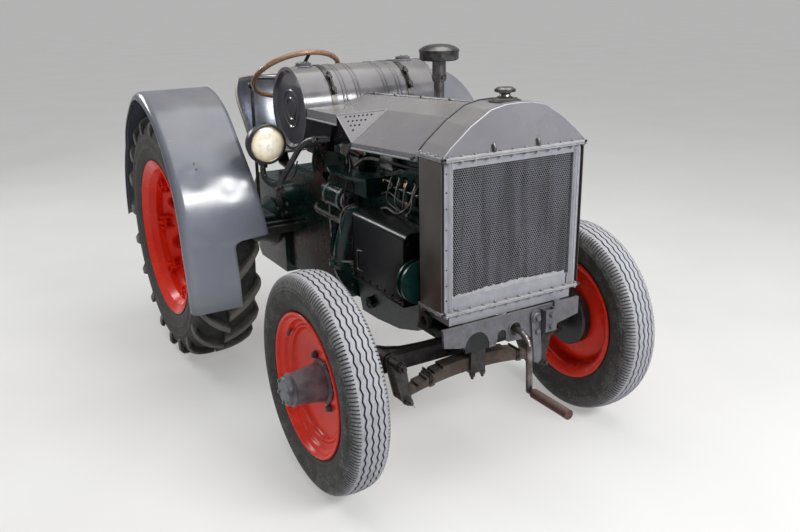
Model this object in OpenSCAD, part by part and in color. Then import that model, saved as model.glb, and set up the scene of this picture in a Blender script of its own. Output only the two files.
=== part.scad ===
// Vintage four-wheel farm tractor with pneumatic tyres. Millimetres, +X forward, +Y left, +Z up.
// The origin lies on the ground under the middle of the overall box.

/* [Stance] */
// Distance between the front and rear axles
wheelbase = 1500; // [1400:10:1650]
// Distance between the middles of the front tyres
front_track = 1220; // [1180:10:1280]
// Distance between the middles of the rear tyres
rear_track = 1250; // [1240:10:1300]

/* [Front wheels] */
// Outer radius of the front tyre
front_tyre_r = 416; // [400:2:430]
// Section width of the front tyre
front_tyre_w = 158; // [140:2:166]
// Outer radius of the front rim's flanges
front_rim_r = 272; // [255:1:280]
// Width of the front rim over its flanges
front_rim_w = 116; // [100:2:120]
// Length of the front hub beyond the middle of the tyre
front_hub_out = 150; // [120:5:170]
// Radius of the front hub's barrel
front_hub_r = 66; // [58:1:76]
// Number of grooves round the front tread
front_grooves = 4; // [2:1:6]
// Number of nuts on a front wheel
front_nuts = 6; // [5:1:8]

/* [Rear wheels] */
// Outer radius of the rear tyre over its lugs
rear_tyre_r = 613; // [590:1:625]
// Section width of the rear tyre
rear_tyre_w = 305; // [280:5:308]
// Height of the rear tyre's lugs
lug_h = 34; // [20:1:42]
// Number of lugs along each side of the rear tyre
lugs = 20; // [16:1:22]
// Number of clamps that hold the rear rim to its disc
rim_clamps = 8; // [6:1:10]
// Outer radius of the rear rim's flanges
rear_rim_r = 388; // [370:1:400]
// Width of the rear rim over its flanges
rear_rim_w = 270; // [230:5:275]

/* [Front axle] */
// Distance of each kingpin from the middle
kingpin_y = 470; // [460:2:480]
// Radius of the kingpins
kingpin_r = 18; // [14:1:22]
// Radius of the front wheel spindles
spindle_r = 20; // [16:1:24]
// Length of the arms that carry the track rod, from the kingpins
rod_arm = 130; // [110:5:150]
// Depth of the front axle beam
beam_h = 62; // [50:2:74]
// Thickness of the front axle beam
beam_t = 44; // [36:2:54]
// Number of leaves in the front spring
leaves = 6; // [4:1:8]
// Thickness of one leaf
leaf_t = 9; // [7:1:11]
// Width of the leaves
leaf_w = 58; // [48:2:66]
// Distance of each spring eye from the middle
spring_eye_y = 322; // [310:2:330]
// Rise of the spring's middle over its eyes
spring_arch = 40; // [30:1:50]

/* [Engine] */
// Width of the cylinder block
block_w = 380; // [340:10:400]
// Length of the cylinder block
block_l = 600; // [560:10:620]
// Height of the sump's floor above the ground
sump_z = 408; // [400:2:430]
// Height of the block's top face above the ground
block_z = 1000; // [960:10:1020]
// Radius of the fan's blades
fan_r = 205; // [180:5:215]
// Number of fan blades
fan_blades = 4; // [3:1:6]

/* [Radiator] */
// Half of the radiator's width over its flanges
rad_half_w = 301; // [285:1:310]
// Depth of the radiator
rad_d = 154; // [140:2:156]
// Distance of the radiator's front face ahead of the front axle
rad_front = 344; // [330:2:356]
// Height of the radiator's lower flange above the ground
rad_low_z = 714; // [700:2:724]
// Height of the radiator's upper flange above the ground
rad_top_z = 1255; // [1240:1:1262]
// Height of the top tank's crown above the upper flange
tank_rise = 156; // [140:2:166]
// Width of the radiator's side columns
column_w = 36; // [28:1:42]

/* [Hood and fuel tank] */
// Thickness of the sheet metal
sheet_t = 3; // [2:0.5:4]
// Height of the hood's ridge at its front end
ridge_front_z = 1394; // [1380:1:1400]
// Height of the hood's ridge at its rear end
ridge_rear_z = 1344; // [1330:1:1352]
// Radius of the fuel drum
drum_r = 178; // [165:1:180]
// Half of the fuel drum's length
drum_half_l = 333; // [300:1:340]
// Height of the fuel drum's axis above the ground
drum_z = 1282; // [1276:1:1290]
// Distance of the fuel drum's axis behind the front axle
drum_back = 885; // [880:1:900]

/* [Fenders] */
// Distance of the fenders' outer edges from the middle
fender_out = 838; // [825:1:850]
// Distance of the fenders' inner edges from the middle
fender_in = 500; // [490:1:510]
// Radius of the rolled shoulder at the fenders' outer edge
fender_roll = 34; // [24:1:40]

/* [Controls] */
// Radius of the steering wheel to the middle of its rim
steer_r = 207; // [185:1:215]
// Radius of the steering wheel's rim section
steer_rim = 12; // [10:0.5:15]
// Lean of the steering column from upright, in degrees
column_lean = 33.3; // [30:0.1:38]
// Number of steering wheel spokes
spokes = 4; // [3:1:5]

/* [Hitch] */
// Radius of the drawbar's pin hole
hitch_r = 14; // [11:0.5:16]
// Thickness of the drawbar
hitch_t = 26; // [20:1:32]

/* [Hidden] */
$fn = 64;
// Running clearance of a shaft in its hole, on the radius
run = 0.05;
// Gap between faces of pieces on different bodies
gap = 1;
// Gap between neighbouring pieces of one body
seat_gap = 0.3;
// Every place below is given from the front axle: x forward, z above the ground
rear_x = -wheelbase;
crank_tip = 655;
fender_rear_r = 660;
tail = wheelbase + fender_rear_r;
x_mid = (crank_tip - tail)/2;

// Moves the front-axle datum to the middle of the overall box
module placed() translate([-x_mid, 0, 0]) children();

// Draws the children and their mirror image on the other side
module both_sides() {
  children();
  mirror([0, 1, 0]) children();
}

// A block from its low corner to its high corner
module block(lo, hi) translate(lo) cube(hi - lo);

// A cylinder along Y from y0 to y1 about the point (x, z)
module rod_y(x, z, y0, y1, r) translate([x, y0, z]) rotate([-90, 0, 0]) cylinder(r = r, h = y1 - y0);

// A cylinder along X from x0 to x1 about the point (y, z)
module rod_x(y, z, x0, x1, r) translate([x0, y, z]) rotate([0, 90, 0]) cylinder(r = r, h = x1 - x0);

// A cylinder along Z from z0 to z1 about the point (x, y)
module rod_z(x, y, z0, z1, r) translate([x, y, z0]) cylinder(r = r, h = z1 - z0);

// A solid of revolution about the Y axis, from a profile of [radius, y] points
module turned_y(profile) rotate([-90, 0, 0]) rotate_extrude($fn = 72) polygon(profile);

// A round bar from point a to point b
module bar(a, b, r, sides = 32) {
  d = b - a;
  l = norm(d);
  translate(a) rotate([0, acos(d.z/l), atan2(d.y, d.x)]) cylinder(r = r, h = l, $fn = sides);
}

// A round rod through a row of points, with ball corners
module bent_rod(pts, r) {
  for (i = [1:len(pts) - 1]) bar(pts[i - 1], pts[i], r);
  if (len(pts) > 2) for (i = [1:len(pts) - 2]) translate(pts[i]) sphere(r = 1.03*r, $fn = 32);
}

// An extruded outline of [y, z] points standing across the tractor, from x0 to x1
module across(pts, x0, x1) translate([x0, 0, 0]) rotate([90, 0, 90]) linear_extrude(x1 - x0) polygon(pts);

// An extruded outline of [x, z] points standing along the tractor, from y0 to y1
module along(pts, y0, y1) translate([0, y1, 0]) rotate([90, 0, 0]) linear_extrude(y1 - y0) polygon(pts);

// A flat sheet panel whose top face spans the points
module panel(pts, t = sheet_t) hull() for (p = pts) translate(p - [0, 0, t]) cylinder(r = 0.6, h = t,
  $fn = 6);

// Front wheels

front_hub_in = front_track/2 - kingpin_y - 62;
front_bead_r = front_rim_r - 22;

// Front tyre about its own middle, with ribs and grooves round its tread
groove_d = 8;
groove_w = 7;
tread_half = front_tyre_w/2 - 22;
function front_groove_y(i) = -tread_half + (i + 1)*2*tread_half/(front_grooves + 1);
function front_crown_r(y) = front_tyre_r - 9*(y/tread_half)*(y/tread_half);
function front_groove(i) = let (y = front_groove_y(i), r = front_crown_r(y), h = groove_w/2)
  [[r, y - h], [r - groove_d, y - h + 1.5], [r - groove_d, y + h - 1.5], [r, y + h]];
module front_tyre_shape() {
  w = front_tyre_w/2;
  crown = front_tyre_r - 9;
  o = front_rim_w/2;
  turned_y(concat([[front_bead_r, -o + 14], [front_rim_r - 2, -o + 4], [front_rim_r + 16, -o - 6],
    [front_rim_r + 48, -w + 3], [front_rim_r + 75, -w], [crown - 30, -w + 6], [crown - 8, -w + 16],
      [crown, -tread_half]],
    [for (i = [0:front_grooves - 1]) each front_groove(i)],
    [[crown, tread_half], [crown - 8, w - 16], [crown - 30, w - 6], [front_rim_r + 75, w],
      [front_rim_r + 48, w - 3],
    [front_rim_r + 16, o + 6], [front_rim_r - 2, o - 4], [front_bead_r, o - 14]]));
}

// Front rim and dished disc, outer side towards +Y
disc_t = 6;
front_disc_y = -8;
hub_seat_r = 96;
module front_wheel_shape() {
  o = front_rim_w/2;
  b = front_bead_r - seat_gap;
  difference() {
    turned_y([[b, -o + 14], [front_rim_r - 3, -o + 4 - seat_gap], [front_rim_r, -o - 3],
      [front_rim_r - 8, -o - 6],
      [b - 16, -o + 12], [b - 30, -o + 34], [b - 30, 4], [b - 22, 16], [b - 44, 20], [b - 60, 14],
      [hub_seat_r + 30, front_disc_y - disc_t], [58, front_disc_y - disc_t], [58, front_disc_y],
      [hub_seat_r + 28, front_disc_y], [b - 62, 20], [b - 44, 27], [b - 12, o - 18],
        [front_rim_r - 8, o + 6],
      [front_rim_r, o + 3], [front_rim_r - 3, o - 4 + seat_gap], [b, o - 14]]);
  }
}

// Front hub: brake drum inside, long barrel outside, bored for the spindle
module front_hub_shape() {
  difference() {
    union() {
      turned_y([[0, -62], [118, -62], [126, -54], [126, -22], [118, -14 - seat_gap],
        [0, -14 - seat_gap]]);
      turned_y([[0, -20], [58 - seat_gap, -20], [58 - seat_gap, front_disc_y + seat_gap],
        [hub_seat_r, front_disc_y + seat_gap], [hub_seat_r, 6], [front_hub_r + 14, 12], [front_hub_r, 30],
        [front_hub_r - 8, front_hub_out - 26], [front_hub_r - 2, front_hub_out - 24],
        [front_hub_r - 2, front_hub_out - 12], [front_hub_r - 22, front_hub_out], [0, front_hub_out]]);
    }
    translate([0, -70, 0]) rotate([-90, 0, 0]) cylinder(r = spindle_r + run, h = 70 + 46);
  }
  for (i = [0:front_nuts - 1]) rotate([0, i*360/front_nuts, 0])
    translate([hub_seat_r - 12, 5, 0]) rotate([-90, 0, 0]) cylinder(r = 10, h = 22, $fn = 6);
}

module at_front_wheel(side) placed()
  translate([0, side*front_track/2, front_tyre_r]) mirror([0, side < 0 ? 1 : 0, 0]) children();

module front_tyre_right() color("dimgray") at_front_wheel(-1) front_tyre_shape();
module front_tyre_left() color("dimgray") at_front_wheel(1) front_tyre_shape();
module front_wheel_right() color("orangered") at_front_wheel(-1) front_wheel_shape();
module front_wheel_left() color("orangered") at_front_wheel(1) front_wheel_shape();
module front_hub_right() color("darkslategray") at_front_wheel(-1) front_hub_shape();
module front_hub_left() color("darkslategray") at_front_wheel(1) front_hub_shape();

// Rear wheels

rear_bead_r = rear_rim_r - 26;
rear_disc_y = -96;
rear_hub_r = 84;
rear_hub_in = -150;

// Rear tyre about its own middle: the carcass, and curved lugs that meet in a chevron
carcass_r = rear_tyre_r - lug_h;
function carcass_at(y) = carcass_r - 16*pow(abs(y)/(rear_tyre_w/2), 2);
// Stations along a lug: [share of half width, turn about the axle in degrees, share of the lug's height]
lug_line = [[-0.04, 0, 1], [0.3, 4, 1], [0.62, 8.5, 0.97], [0.9, 13.5, 0.8]];
lug_top = 19;
lug_foot = 28;
module lug() {
  w = rear_tyre_w/2;
  ring = [[-lug_foot, -9], [-lug_top, 1], [lug_top, 1], [lug_foot, -9]];
  n = len(lug_line);
  tip = [for (c = ring) let (r = carcass_r - 74 + (c[1] > 0 ? 8 : -10),
    a = lug_line[n - 1][1] + 2 + 0.8*c[0]/r*180/PI)
    [r*cos(a), w - (c[1] > 0 ? -1 : 12), r*sin(a)]];
  body = [for (s = lug_line) for (c = ring) let (y = s[0]*w,
    r = carcass_at(y) + (c[1] > 0 ? lug_h*s[2] : c[1]), a = s[1] + c[0]/r*180/PI) [r*cos(a),
      y, r*sin(a)]];
  sides = [for (k = [0:n - 1]) for (j = [0:3]) let (i = 4*k + j, m = 4*k + (j + 1)%4) each [[i, m,
    m + 4], [i, m + 4, i + 4]]];
  polyhedron(points = concat(body, tip), faces = concat(sides, [[0, 3, 2], [0, 2, 1]],
    [[4*n, 4*n + 1, 4*n + 2], [4*n, 4*n + 2, 4*n + 3]]));
}
module rear_tyre_shape() {
  w = rear_tyre_w/2;
  o = rear_rim_w/2;
  edge = carcass_at(0.8*w);
  turned_y([[rear_bead_r, -o + 22], [rear_rim_r - 2, -o + 6], [rear_rim_r + 22, -o - 4],
    [rear_rim_r + 62, -w + 4],
    [rear_rim_r + 104, -w + 4], [edge - 34, -w + 10], [edge, -0.8*w], [carcass_r, 0], [edge, 0.8*w],
      [edge - 34, w - 10],
    [rear_rim_r + 104, w - 4], [rear_rim_r + 62, w - 4], [rear_rim_r + 22, o + 4],
      [rear_rim_r - 2, o - 6],
    [rear_bead_r, o - 22]]);
  for (i = [0:lugs - 1]) {
    rotate([0, -i*360/lugs, 0]) lug();
    rotate([0, -(i + 0.5)*360/lugs, 0]) mirror([0, 1, 0]) lug();
  }
}

// Rear rim, and the disc that dishes from the outer side of the rim in to the hub
disc_seat = 50;
module rear_wheel_shape() {
  o = rear_rim_w/2;
  b = rear_bead_r - seat_gap;
  difference() {
    turned_y([[b, -o + 22], [rear_rim_r - 4, -o + 6 - seat_gap], [rear_rim_r, -o - 2],
      [rear_rim_r - 8, -o - 5],
      [b - 12, -o + 16], [b - 26, -o + 52], [b - 26, disc_seat - 18], [b - 42, disc_seat - 26],
      [rear_hub_r + 92, rear_disc_y - 24], [60, rear_disc_y - 24], [60, rear_disc_y - 16],
      [rear_hub_r + 86, rear_disc_y - 16], [b - 46, disc_seat - 14], [b - 34, disc_seat - 6],
        [b - 34, o - 56],
      [b - 18, o - 22], [rear_rim_r - 8, o + 5], [rear_rim_r, o + 2], [rear_rim_r - 4, o - 6 + seat_gap],
      [b, o - 22]]);
    for (i = [0:rim_clamps - 1]) rotate([0, (i + 0.5)*360/rim_clamps, 0])
      rod_y(b - 96, 0, rear_disc_y, disc_seat, 40);
  }
  // Clamp lugs in the rim's well, each with its stud and nut
  for (i = [0:rim_clamps - 1]) rotate([0, i*360/rim_clamps, 0]) {
    for (z = [-34, 22]) block([b - 82, disc_seat - 44, z], [b - 32, disc_seat + 18, z + 12]);
    block([b - 82, disc_seat - 8, -34], [b - 40, disc_seat + 4, 34]);
    rod_y(b - 60, 0, disc_seat - 30, disc_seat + 30, 8);
    translate([b - 60, disc_seat + 3, 0]) rotate([-90, 0, 0]) cylinder(r = 16, h = 13, $fn = 6);
  }
}

// Rear hub, bored for the axle shaft
axle_r = 32;
module rear_hub_shape() {
  difference() {
    turned_y([[0, rear_hub_in], [rear_hub_r, rear_hub_in], [rear_hub_r, rear_disc_y - 36],
      [rear_hub_r + 56, rear_disc_y - 34], [rear_hub_r + 56, rear_disc_y - 20], [66, rear_disc_y - 20],
      [62, rear_disc_y - 4], [52, rear_disc_y + 30], [0, rear_disc_y + 36]]);
    translate([0, rear_hub_in - 10, 0]) rotate([-90, 0, 0]) cylinder(r = axle_r + run, h = 70);
  }
  for (i = [0:7]) rotate([0, i*45, 0])
    translate([rear_hub_r + 34, rear_disc_y - 18, 0]) rotate([-90, 0, 0]) cylinder(r = 13, h = 18,
      $fn = 6);
}

module at_rear_wheel(side) placed()
  translate([rear_x, side*rear_track/2, rear_tyre_r]) mirror([0, side < 0 ? 1 : 0, 0]) children();

module rear_tyre_right() color("dimgray") at_rear_wheel(-1) rear_tyre_shape();
module rear_tyre_left() color("dimgray") at_rear_wheel(1) rear_tyre_shape();
module rear_wheel(side) at_rear_wheel(side) {
  rear_wheel_shape();
  rear_hub_shape();
}
module rear_wheel_right() color("orangered") rear_wheel(-1);
module rear_wheel_left() color("orangered") rear_wheel(1);

// Front axle and steering

beam_z = front_tyre_r + 4;
boss_half_h = 40;
boss_r = 34;
ear_t = 20;
spring_x = 92;
spring_z = 360;
pin_y = spring_eye_y + 28;
pin_z = beam_z + 36;
eye_z = spring_z - spring_arch - 6;

// Axle beam with kingpin bosses and the pins that carry the spring shackles
module axle_beam() color("dimgray") placed() difference() {
  union() {
    block([-beam_t/2, -kingpin_y + boss_r - 6, beam_z - beam_h/2], [beam_t/2, kingpin_y - boss_r + 6,
      beam_z + beam_h/2]);
    both_sides() {
      rod_z(0, kingpin_y, beam_z - boss_half_h, beam_z + boss_half_h, boss_r);
      rod_x(pin_y, pin_z, -36, spring_x + leaf_w/2 + 20, 17);
      rod_x(pin_y, pin_z, beam_t/2 - 4, beam_t/2 + 24, 27);
    }
  }
  both_sides() rod_z(0, kingpin_y, beam_z - boss_half_h - 5, beam_z + boss_half_h + 5, kingpin_r + run);
}

// Half length of one leaf: the lowest leaf reaches past the eyes
function leaf_half(i)
  = i == 0 ? spring_eye_y + 16 : spring_eye_y - 16 - (i - 1)*(spring_eye_y - 95)/leaves;
// Radius of the arch along the spring's lower face
arch_r = (pow(spring_eye_y, 2) + pow(spring_arch, 2))/(2*spring_arch);
spring_top = spring_z + leaf_t*leaves;

// A slice of the arched stack between two heights above its lower face
module arched(h0, h1, half, x0, x1) intersection() {
  difference() {
    rod_x(0, spring_z - arch_r, x0, x1, arch_r + h1, $fn = 360);
    rod_x(0, spring_z - arch_r, x0 - 1, x1 + 1, arch_r + h0, $fn = 360);
  }
  block([x0, -half, spring_z - 2*spring_arch], [x1, half, spring_top + 20]);
}

// Leaf spring across the front, arched up in the middle, with its eyes and clips
clamp_half = 34;
eye_r = 17;
clip_t = 4;
module leaf_spring() color("sienna") placed() {
  x0 = spring_x - leaf_w/2;
  x1 = spring_x + leaf_w/2;
  difference() {
    union() {
      for (i = [0:leaves - 1]) arched(i*leaf_t, (i + 1)*leaf_t, leaf_half(i), x0, x1);
      both_sides() {
        rod_x(spring_eye_y, eye_z, x0, x1, eye_r);
        // Clip round the leaves half way out
        intersection() {
          arched(-clip_t, leaf_t*4 + clip_t, spring_eye_y, x0 - clip_t, x1 + clip_t);
          block([x0 - 20, 196, spring_z - 2*spring_arch], [x1 + 20, 218, spring_top + 20]);
        }
      }
    }
    both_sides() rod_x(spring_eye_y, eye_z, x0 - 5, x1 + 5, 10 + run);
  }
}

// A flat link across X between two points [y, z], with round ends
module link(a, b, ra, rb, x0, x1) {
  d = (b - a)/norm(b - a);
  n = [-d.y, d.x];
  rod_x(a.x, a.y, x0, x1, ra);
  rod_x(b.x, b.y, x0, x1, rb);
  across([a + ra*n, a - ra*n, b - rb*n, b + rb*n], x0, x1);
}

// Centre clamp under the front support, and the shackles between the axle's pins and the spring's eyes
plate_w = 9;
clamp_z0 = spring_z - 14;
module spring_mounts() color("dimgray") placed() {
  x0 = spring_x - leaf_w/2;
  x1 = spring_x + leaf_w/2;
  difference() {
    block([x0 - 12, -clamp_half, clamp_z0], [x1 + 12, clamp_half, support_z0]);
    arched(-seat_gap, leaf_t*leaves + seat_gap, clamp_half + 1, x0 - seat_gap, x1 + seat_gap);
  }
  both_sides() {
    for (x = [x0 - plate_w - seat_gap, x1 + seat_gap]) difference() {
      link([spring_eye_y, eye_z], [pin_y, pin_z], 19, 24, x, x + plate_w);
      rod_x(pin_y, pin_z, x - 1, x + plate_w + 1, 17 + run);
    }
    rod_x(spring_eye_y, eye_z, x0 - plate_w - 8, x1 + plate_w + 10, 10);
  }
}

// Stub axle of one side: yoke and kingpin, spindle, track rod arm
spindle_y = front_track/2 - 62;
arm_t = 18;
arm_z = beam_z + boss_half_h + gap;
module knuckle_shape() {
  ear_lo = beam_z - boss_half_h - ear_t - gap;
  ear_hi = beam_z + boss_half_h + gap;
  rod_z(0, kingpin_y, ear_lo - 8, ear_hi + ear_t + 8, kingpin_r);
  difference() {
    union() {
      rod_z(0, kingpin_y, ear_lo, ear_lo + ear_t, boss_r);
      rod_z(0, kingpin_y, ear_hi, ear_hi + ear_t, boss_r);
      block([-26, kingpin_y, ear_lo], [26, kingpin_y + boss_r + 18, ear_hi + ear_t]);
    }
    rod_z(0, kingpin_y, ear_lo + ear_t, ear_hi, boss_r + 6);
  }
  rod_y(0, front_tyre_r, kingpin_y + boss_r + 10, spindle_y + 100, spindle_r);
  rod_y(0, front_tyre_r, kingpin_y + boss_r + 10, spindle_y - gap, spindle_r + 14);
  block([-rod_arm, kingpin_y - 13, arm_z], [-20, kingpin_y + 13, arm_z + arm_t]);
  rod_z(-rod_arm, kingpin_y, arm_z - 30, arm_z + arm_t, 11);
  rod_z(-rod_arm, kingpin_y, arm_z, arm_z + arm_t, 22);
}
module knuckle_right() color("dimgray") placed() mirror([0, 1, 0]) knuckle_shape();

// The left stub axle also has the long arm that the drag link pulls, raised to pass over the shackle pins
drag_arm = 210;
drag_y = kingpin_y - drag_arm;
drag_z0 = beam_z + boss_half_h + gap + ear_t + 8;
drag_top = drag_z0 + 16;
drag_z = drag_top + 7;
module knuckle_left() color("dimgray") placed() {
  knuckle_shape();
  rod_z(0, kingpin_y, drag_z0 - 12, drag_top, boss_r - 6);
  block([-16, drag_y, drag_z0], [16, kingpin_y, drag_top]);
  rod_z(0, drag_y, drag_z0, drag_top, 20);
  rod_z(0, drag_y, drag_top - 4, drag_top + 32, 10);
}

// Track rod behind the axle, bowed down to pass under the sump
track_eye_z = arm_z - gap - 13;
// Places along the rod's right half: [distance from the middle, height]
rod_bow = [[448, track_eye_z], [400, 444], [332, 434], [268, 411], [200, 396], [100, 390]];
module track_rod() color("dimgray") placed() difference() {
  union() {
    bent_rod([for (s = [-1, 1]) for (k = [0:len(rod_bow) - 1])
      let (p = rod_bow[s < 0 ? k : len(rod_bow) - 1 - k])
      [-rod_arm, s*p[0], p[1]]], 12);
    both_sides() rod_z(-rod_arm, kingpin_y, track_eye_z - 12, track_eye_z + 13, 22);
  }
  both_sides() rod_z(-rod_arm, kingpin_y, track_eye_z - 20, track_eye_z + 20, 11 + run);
}

// Drag link on the left, from the drop arm to the left stub axle
drop_x = -765;
drop_len = drag_arm;
drop_pivot_z = drag_z + drop_len;
module drag_link() color("dimgray") placed() difference() {
  union() {
    bar([-14, drag_y, drag_top + 14], [drop_x + 16, drag_y, drag_z], 12);
    rod_z(0, drag_y, drag_top + gap, drag_top + 26, 22);
    rod_y(drop_x, drag_z, drag_y - 10, drag_y + 10, 22);
  }
  rod_z(0, drag_y, drag_top - 5, drag_top + 40, 10 + run);
}

// Drop arm on the left side of the gearbox
drop_y1 = drag_y - 12;
drop_y0 = drop_y1 - 18;
module drop_arm() color("dimgray") placed() {
  difference() {
    hull() {
      rod_y(drop_x, drop_pivot_z, drop_y0, drop_y1, 30);
      rod_y(drop_x, drag_z, drop_y0, drop_y1, 18);
    }
    rod_y(drop_x, drop_pivot_z, drop_y0 - 5, drop_y1 + 5, 20 + run);
  }
}

// Engine and drive line

block_front = 20;
block_rear = block_front - block_l;
block_half = block_w/2;
head_z = block_z + 110;
bell_rear = block_rear - 130;
bell_z = 690;
bell_r = 268;
// The housing is slim enough behind its flange for the drop arm to swing past
bell_step = 56;
gearbox_rear = rear_x + 190;
gearbox_half = 165;
gearbox_low = 420;
gearbox_top = 930;
cover_half = 130;
side_cover = [-1205, 790];
cover_h = 22;
axle_z = rear_tyre_r;
crank_y = 0;
crank_z = 612;

// Cylinder block, head and sump as one heavy casting
front_face = block_front + 24;
cylinders = 4;
pitch = 128;
ledge_z = 1058;
ledge_in = 110;
sump_flange = [590, 640];
cover_z0 = 540;
cover_half_w = 120;
rocker_half = 95;
rocker_h = 74;
injector_y = -148;
rail_y = -160;
rail_z = 1040;
dynamo = [-222, 940];
dynamo_r = 50;
sump_boss = [-441, 486];
// The small drive pulley on the right, seen beside the radiator
drive = [126, -278, 785];
drive_r = 80;
module engine_block() color("darkslategray") placed() {
  difference() {
    union() {
      block([block_rear, -block_half + 20, sump_flange[1] - 20], [block_front, block_half - 20, block_z]);
      block([block_rear, -block_half, sump_flange[0]], [block_front, block_half, sump_flange[1]]);
      sump();
      block([block_rear + 40, -130, block_z - 5], [block_front - 40, 130, head_z]);
      // Rocker cover
      across([[-rocker_half, head_z - 5], [-rocker_half + 15, head_z + rocker_h - 14],
        [-40, head_z + rocker_h], [40, head_z + rocker_h], [rocker_half - 15, head_z + rocker_h - 14],
        [rocker_half, head_z - 5]], block_rear + 70, block_front - 70);
      // Front cover that carries the fan's bracket and the crankshaft's nose
      block([block_front - 2, -cover_half_w, cover_z0], [front_face, cover_half_w, fan_z - 60]);
      block([block_front - 2, -cover_half_w/2, fan_z - 70], [front_face, cover_half_w/2, fan_z + 30]);
      rod_x(0, fan_z, block_front + 10, block_front + 60, 44);
      engine_side();
      drive_pulley();
    }
    rod_x(0, fan_z, block_front + 40, block_front + 70, 16 + run);
  }
}

// Sump: deep behind, rising to the front, with sloping sides
module sump() intersection() {
  top = sump_flange[0] + 10;
  along([[block_rear + 20, top], [block_rear + 20, sump_z], [-420, sump_z + 4], [-226, sump_z + 28],
    [-65, sump_z + 78], [12, top - 32], [12, top]], -block_half, block_half);
  across([[-block_half + 20, top], [-block_half + 50, sump_z], [block_half - 50, sump_z],
    [block_half - 20, top]], block_rear, block_front);
}

// Right side of the engine: the rounded ledge, the injectors with their rail, the dynamo and the
// sump's boss
module engine_side() {
  hull() for (p = [[-600, -240], [-530, -262], [-400, -262], [-320, -236]])
    rod_z(p.x, p.y, ledge_z, ledge_z + 12, 24);
  block([-620, -240, block_z - 10], [-300, -ledge_in, ledge_z + 10]);
  for (i = [0:cylinders - 1]) rod_z(-195 + i*58, injector_y, block_z - 5, rail_z + 6, 11);
  rod_x(rail_y, rail_z, -212, -4, 8);
  rod_x(dynamo.x, dynamo.y, -680, -500, dynamo_r);
  rod_x(dynamo.x, dynamo.y, -500, -484, dynamo_r - 10);
  rod_x(dynamo.x, dynamo.y, -484, -470, 14);
  block([-574, dynamo.x + 22, dynamo.y - 40], [-530, rail_y, dynamo.y]);
  rod_y(sump_boss.x, sump_boss.y, -174, -100, 26);
}

// Pulley on a bracket that reaches round to the front of the side box
module drive_pulley() {
  rod_x(drive.y, drive.z, drive.x, drive.x + 8, drive_r);
  rod_x(drive.y, drive.z, drive.x + 6, drive.x + 30, drive_r - 12);
  rod_x(drive.y, drive.z, drive.x + 28, drive.x + 38, drive_r);
  block([drive.x, drive.y, drive.z - 20], [drive.x + 12, -176, drive.z + 20]);
  block([block_front - 4, -206, drive.z - 20], [drive.x + 12, -150, drive.z + 20]);
}

// Fan with its pulley behind the radiator
fan_z = 960;
fan_x = block_front + 60 + gap;
module fan() color("seagreen") placed() {
  rod_x(0, fan_z, block_front + 42, fan_x + 10, 16);
  rod_x(0, fan_z, fan_x, fan_x + 30, 80);
  rod_x(0, fan_z, fan_x + 28, fan_x + 50, 46);
  for (i = [0:fan_blades - 1]) translate([fan_x + 38, 0, fan_z]) rotate([i*360/fan_blades, 0, 0])
    rotate([0, 0, 28]) block([-2, -42, 30], [2, 42, fan_r]);
}

// Bell housing, gearbox and their side covers
module gearbox() color("darkslategray") placed() difference() {
  union() {
    rod_x(0, bell_z, block_rear - 22, block_rear - seat_gap, bell_r);
    rod_x(0, bell_z, bell_rear, block_rear - 20, bell_r - bell_step);
    block([gearbox_rear + seat_gap, -gearbox_half, gearbox_low], [bell_rear + 10, gearbox_half,
      gearbox_top]);
    block([gearbox_rear + 60, -cover_half, gearbox_top - 2], [bell_rear - 60, cover_half,
      gearbox_top + cover_h]);
    // Round cover on the right, and the boss of the steering box on the left
    rod_y(side_cover.x, side_cover.y, -gearbox_half - 70, -gearbox_half + 5, 82);
    rod_y(side_cover.x, side_cover.y, -gearbox_half - 84, -gearbox_half, 40);
    rod_y(drop_x, drop_pivot_z, gearbox_half - 10, drop_y0 - gap, 46);
    rod_y(drop_x, drop_pivot_z, gearbox_half - 10, drop_y1 + 8, 20);
  }
}

// Differential casing with its two trumpet housings and axle shafts
trumpet_end = rear_track/2 + rear_hub_in - 6;
housing_top = 850;
housing_low = 380;
housing_half = 190;
trumpet_r = [140, 104, 92];
trumpet_in = 240;
cover_z = 660;
module rear_axle() color("darkslategray") placed() {
  x0 = rear_x - 200;
  along([[x0 + 40, housing_low], [x0, housing_low + 40], [x0, housing_top - 60], [x0 + 60, housing_top],
    [gearbox_rear, housing_top], [gearbox_rear, housing_low]], -housing_half, housing_half);
  // Round cover over the power take-off, with its ring of bolts
  rod_x(0, cover_z, x0 - 14, x0 + 2, 120);
  rod_x(0, cover_z, x0 - 30, x0, 62);
  for (i = [0:7]) translate([x0 - 22, 0, cover_z]) rotate([i*45 + 22.5, 0, 0]) translate([0, 0, 98])
    rotate([0, 90, 0]) cylinder(r = 9, h = 10, $fn = 6);
  both_sides() {
    translate([rear_x, 0, axle_z]) turned_y([[0, housing_half - 10], [trumpet_r[0], housing_half - 10],
      [trumpet_r[1], trumpet_in], [trumpet_r[2], trumpet_end - 24], [trumpet_r[2] + 26, trumpet_end - 22],
      [trumpet_r[2] + 26, trumpet_end], [0, trumpet_end]]);
    rod_y(rear_x, axle_z, trumpet_end - 4, rear_track/2 + rear_hub_in + 58, axle_r);
  }
}

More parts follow.
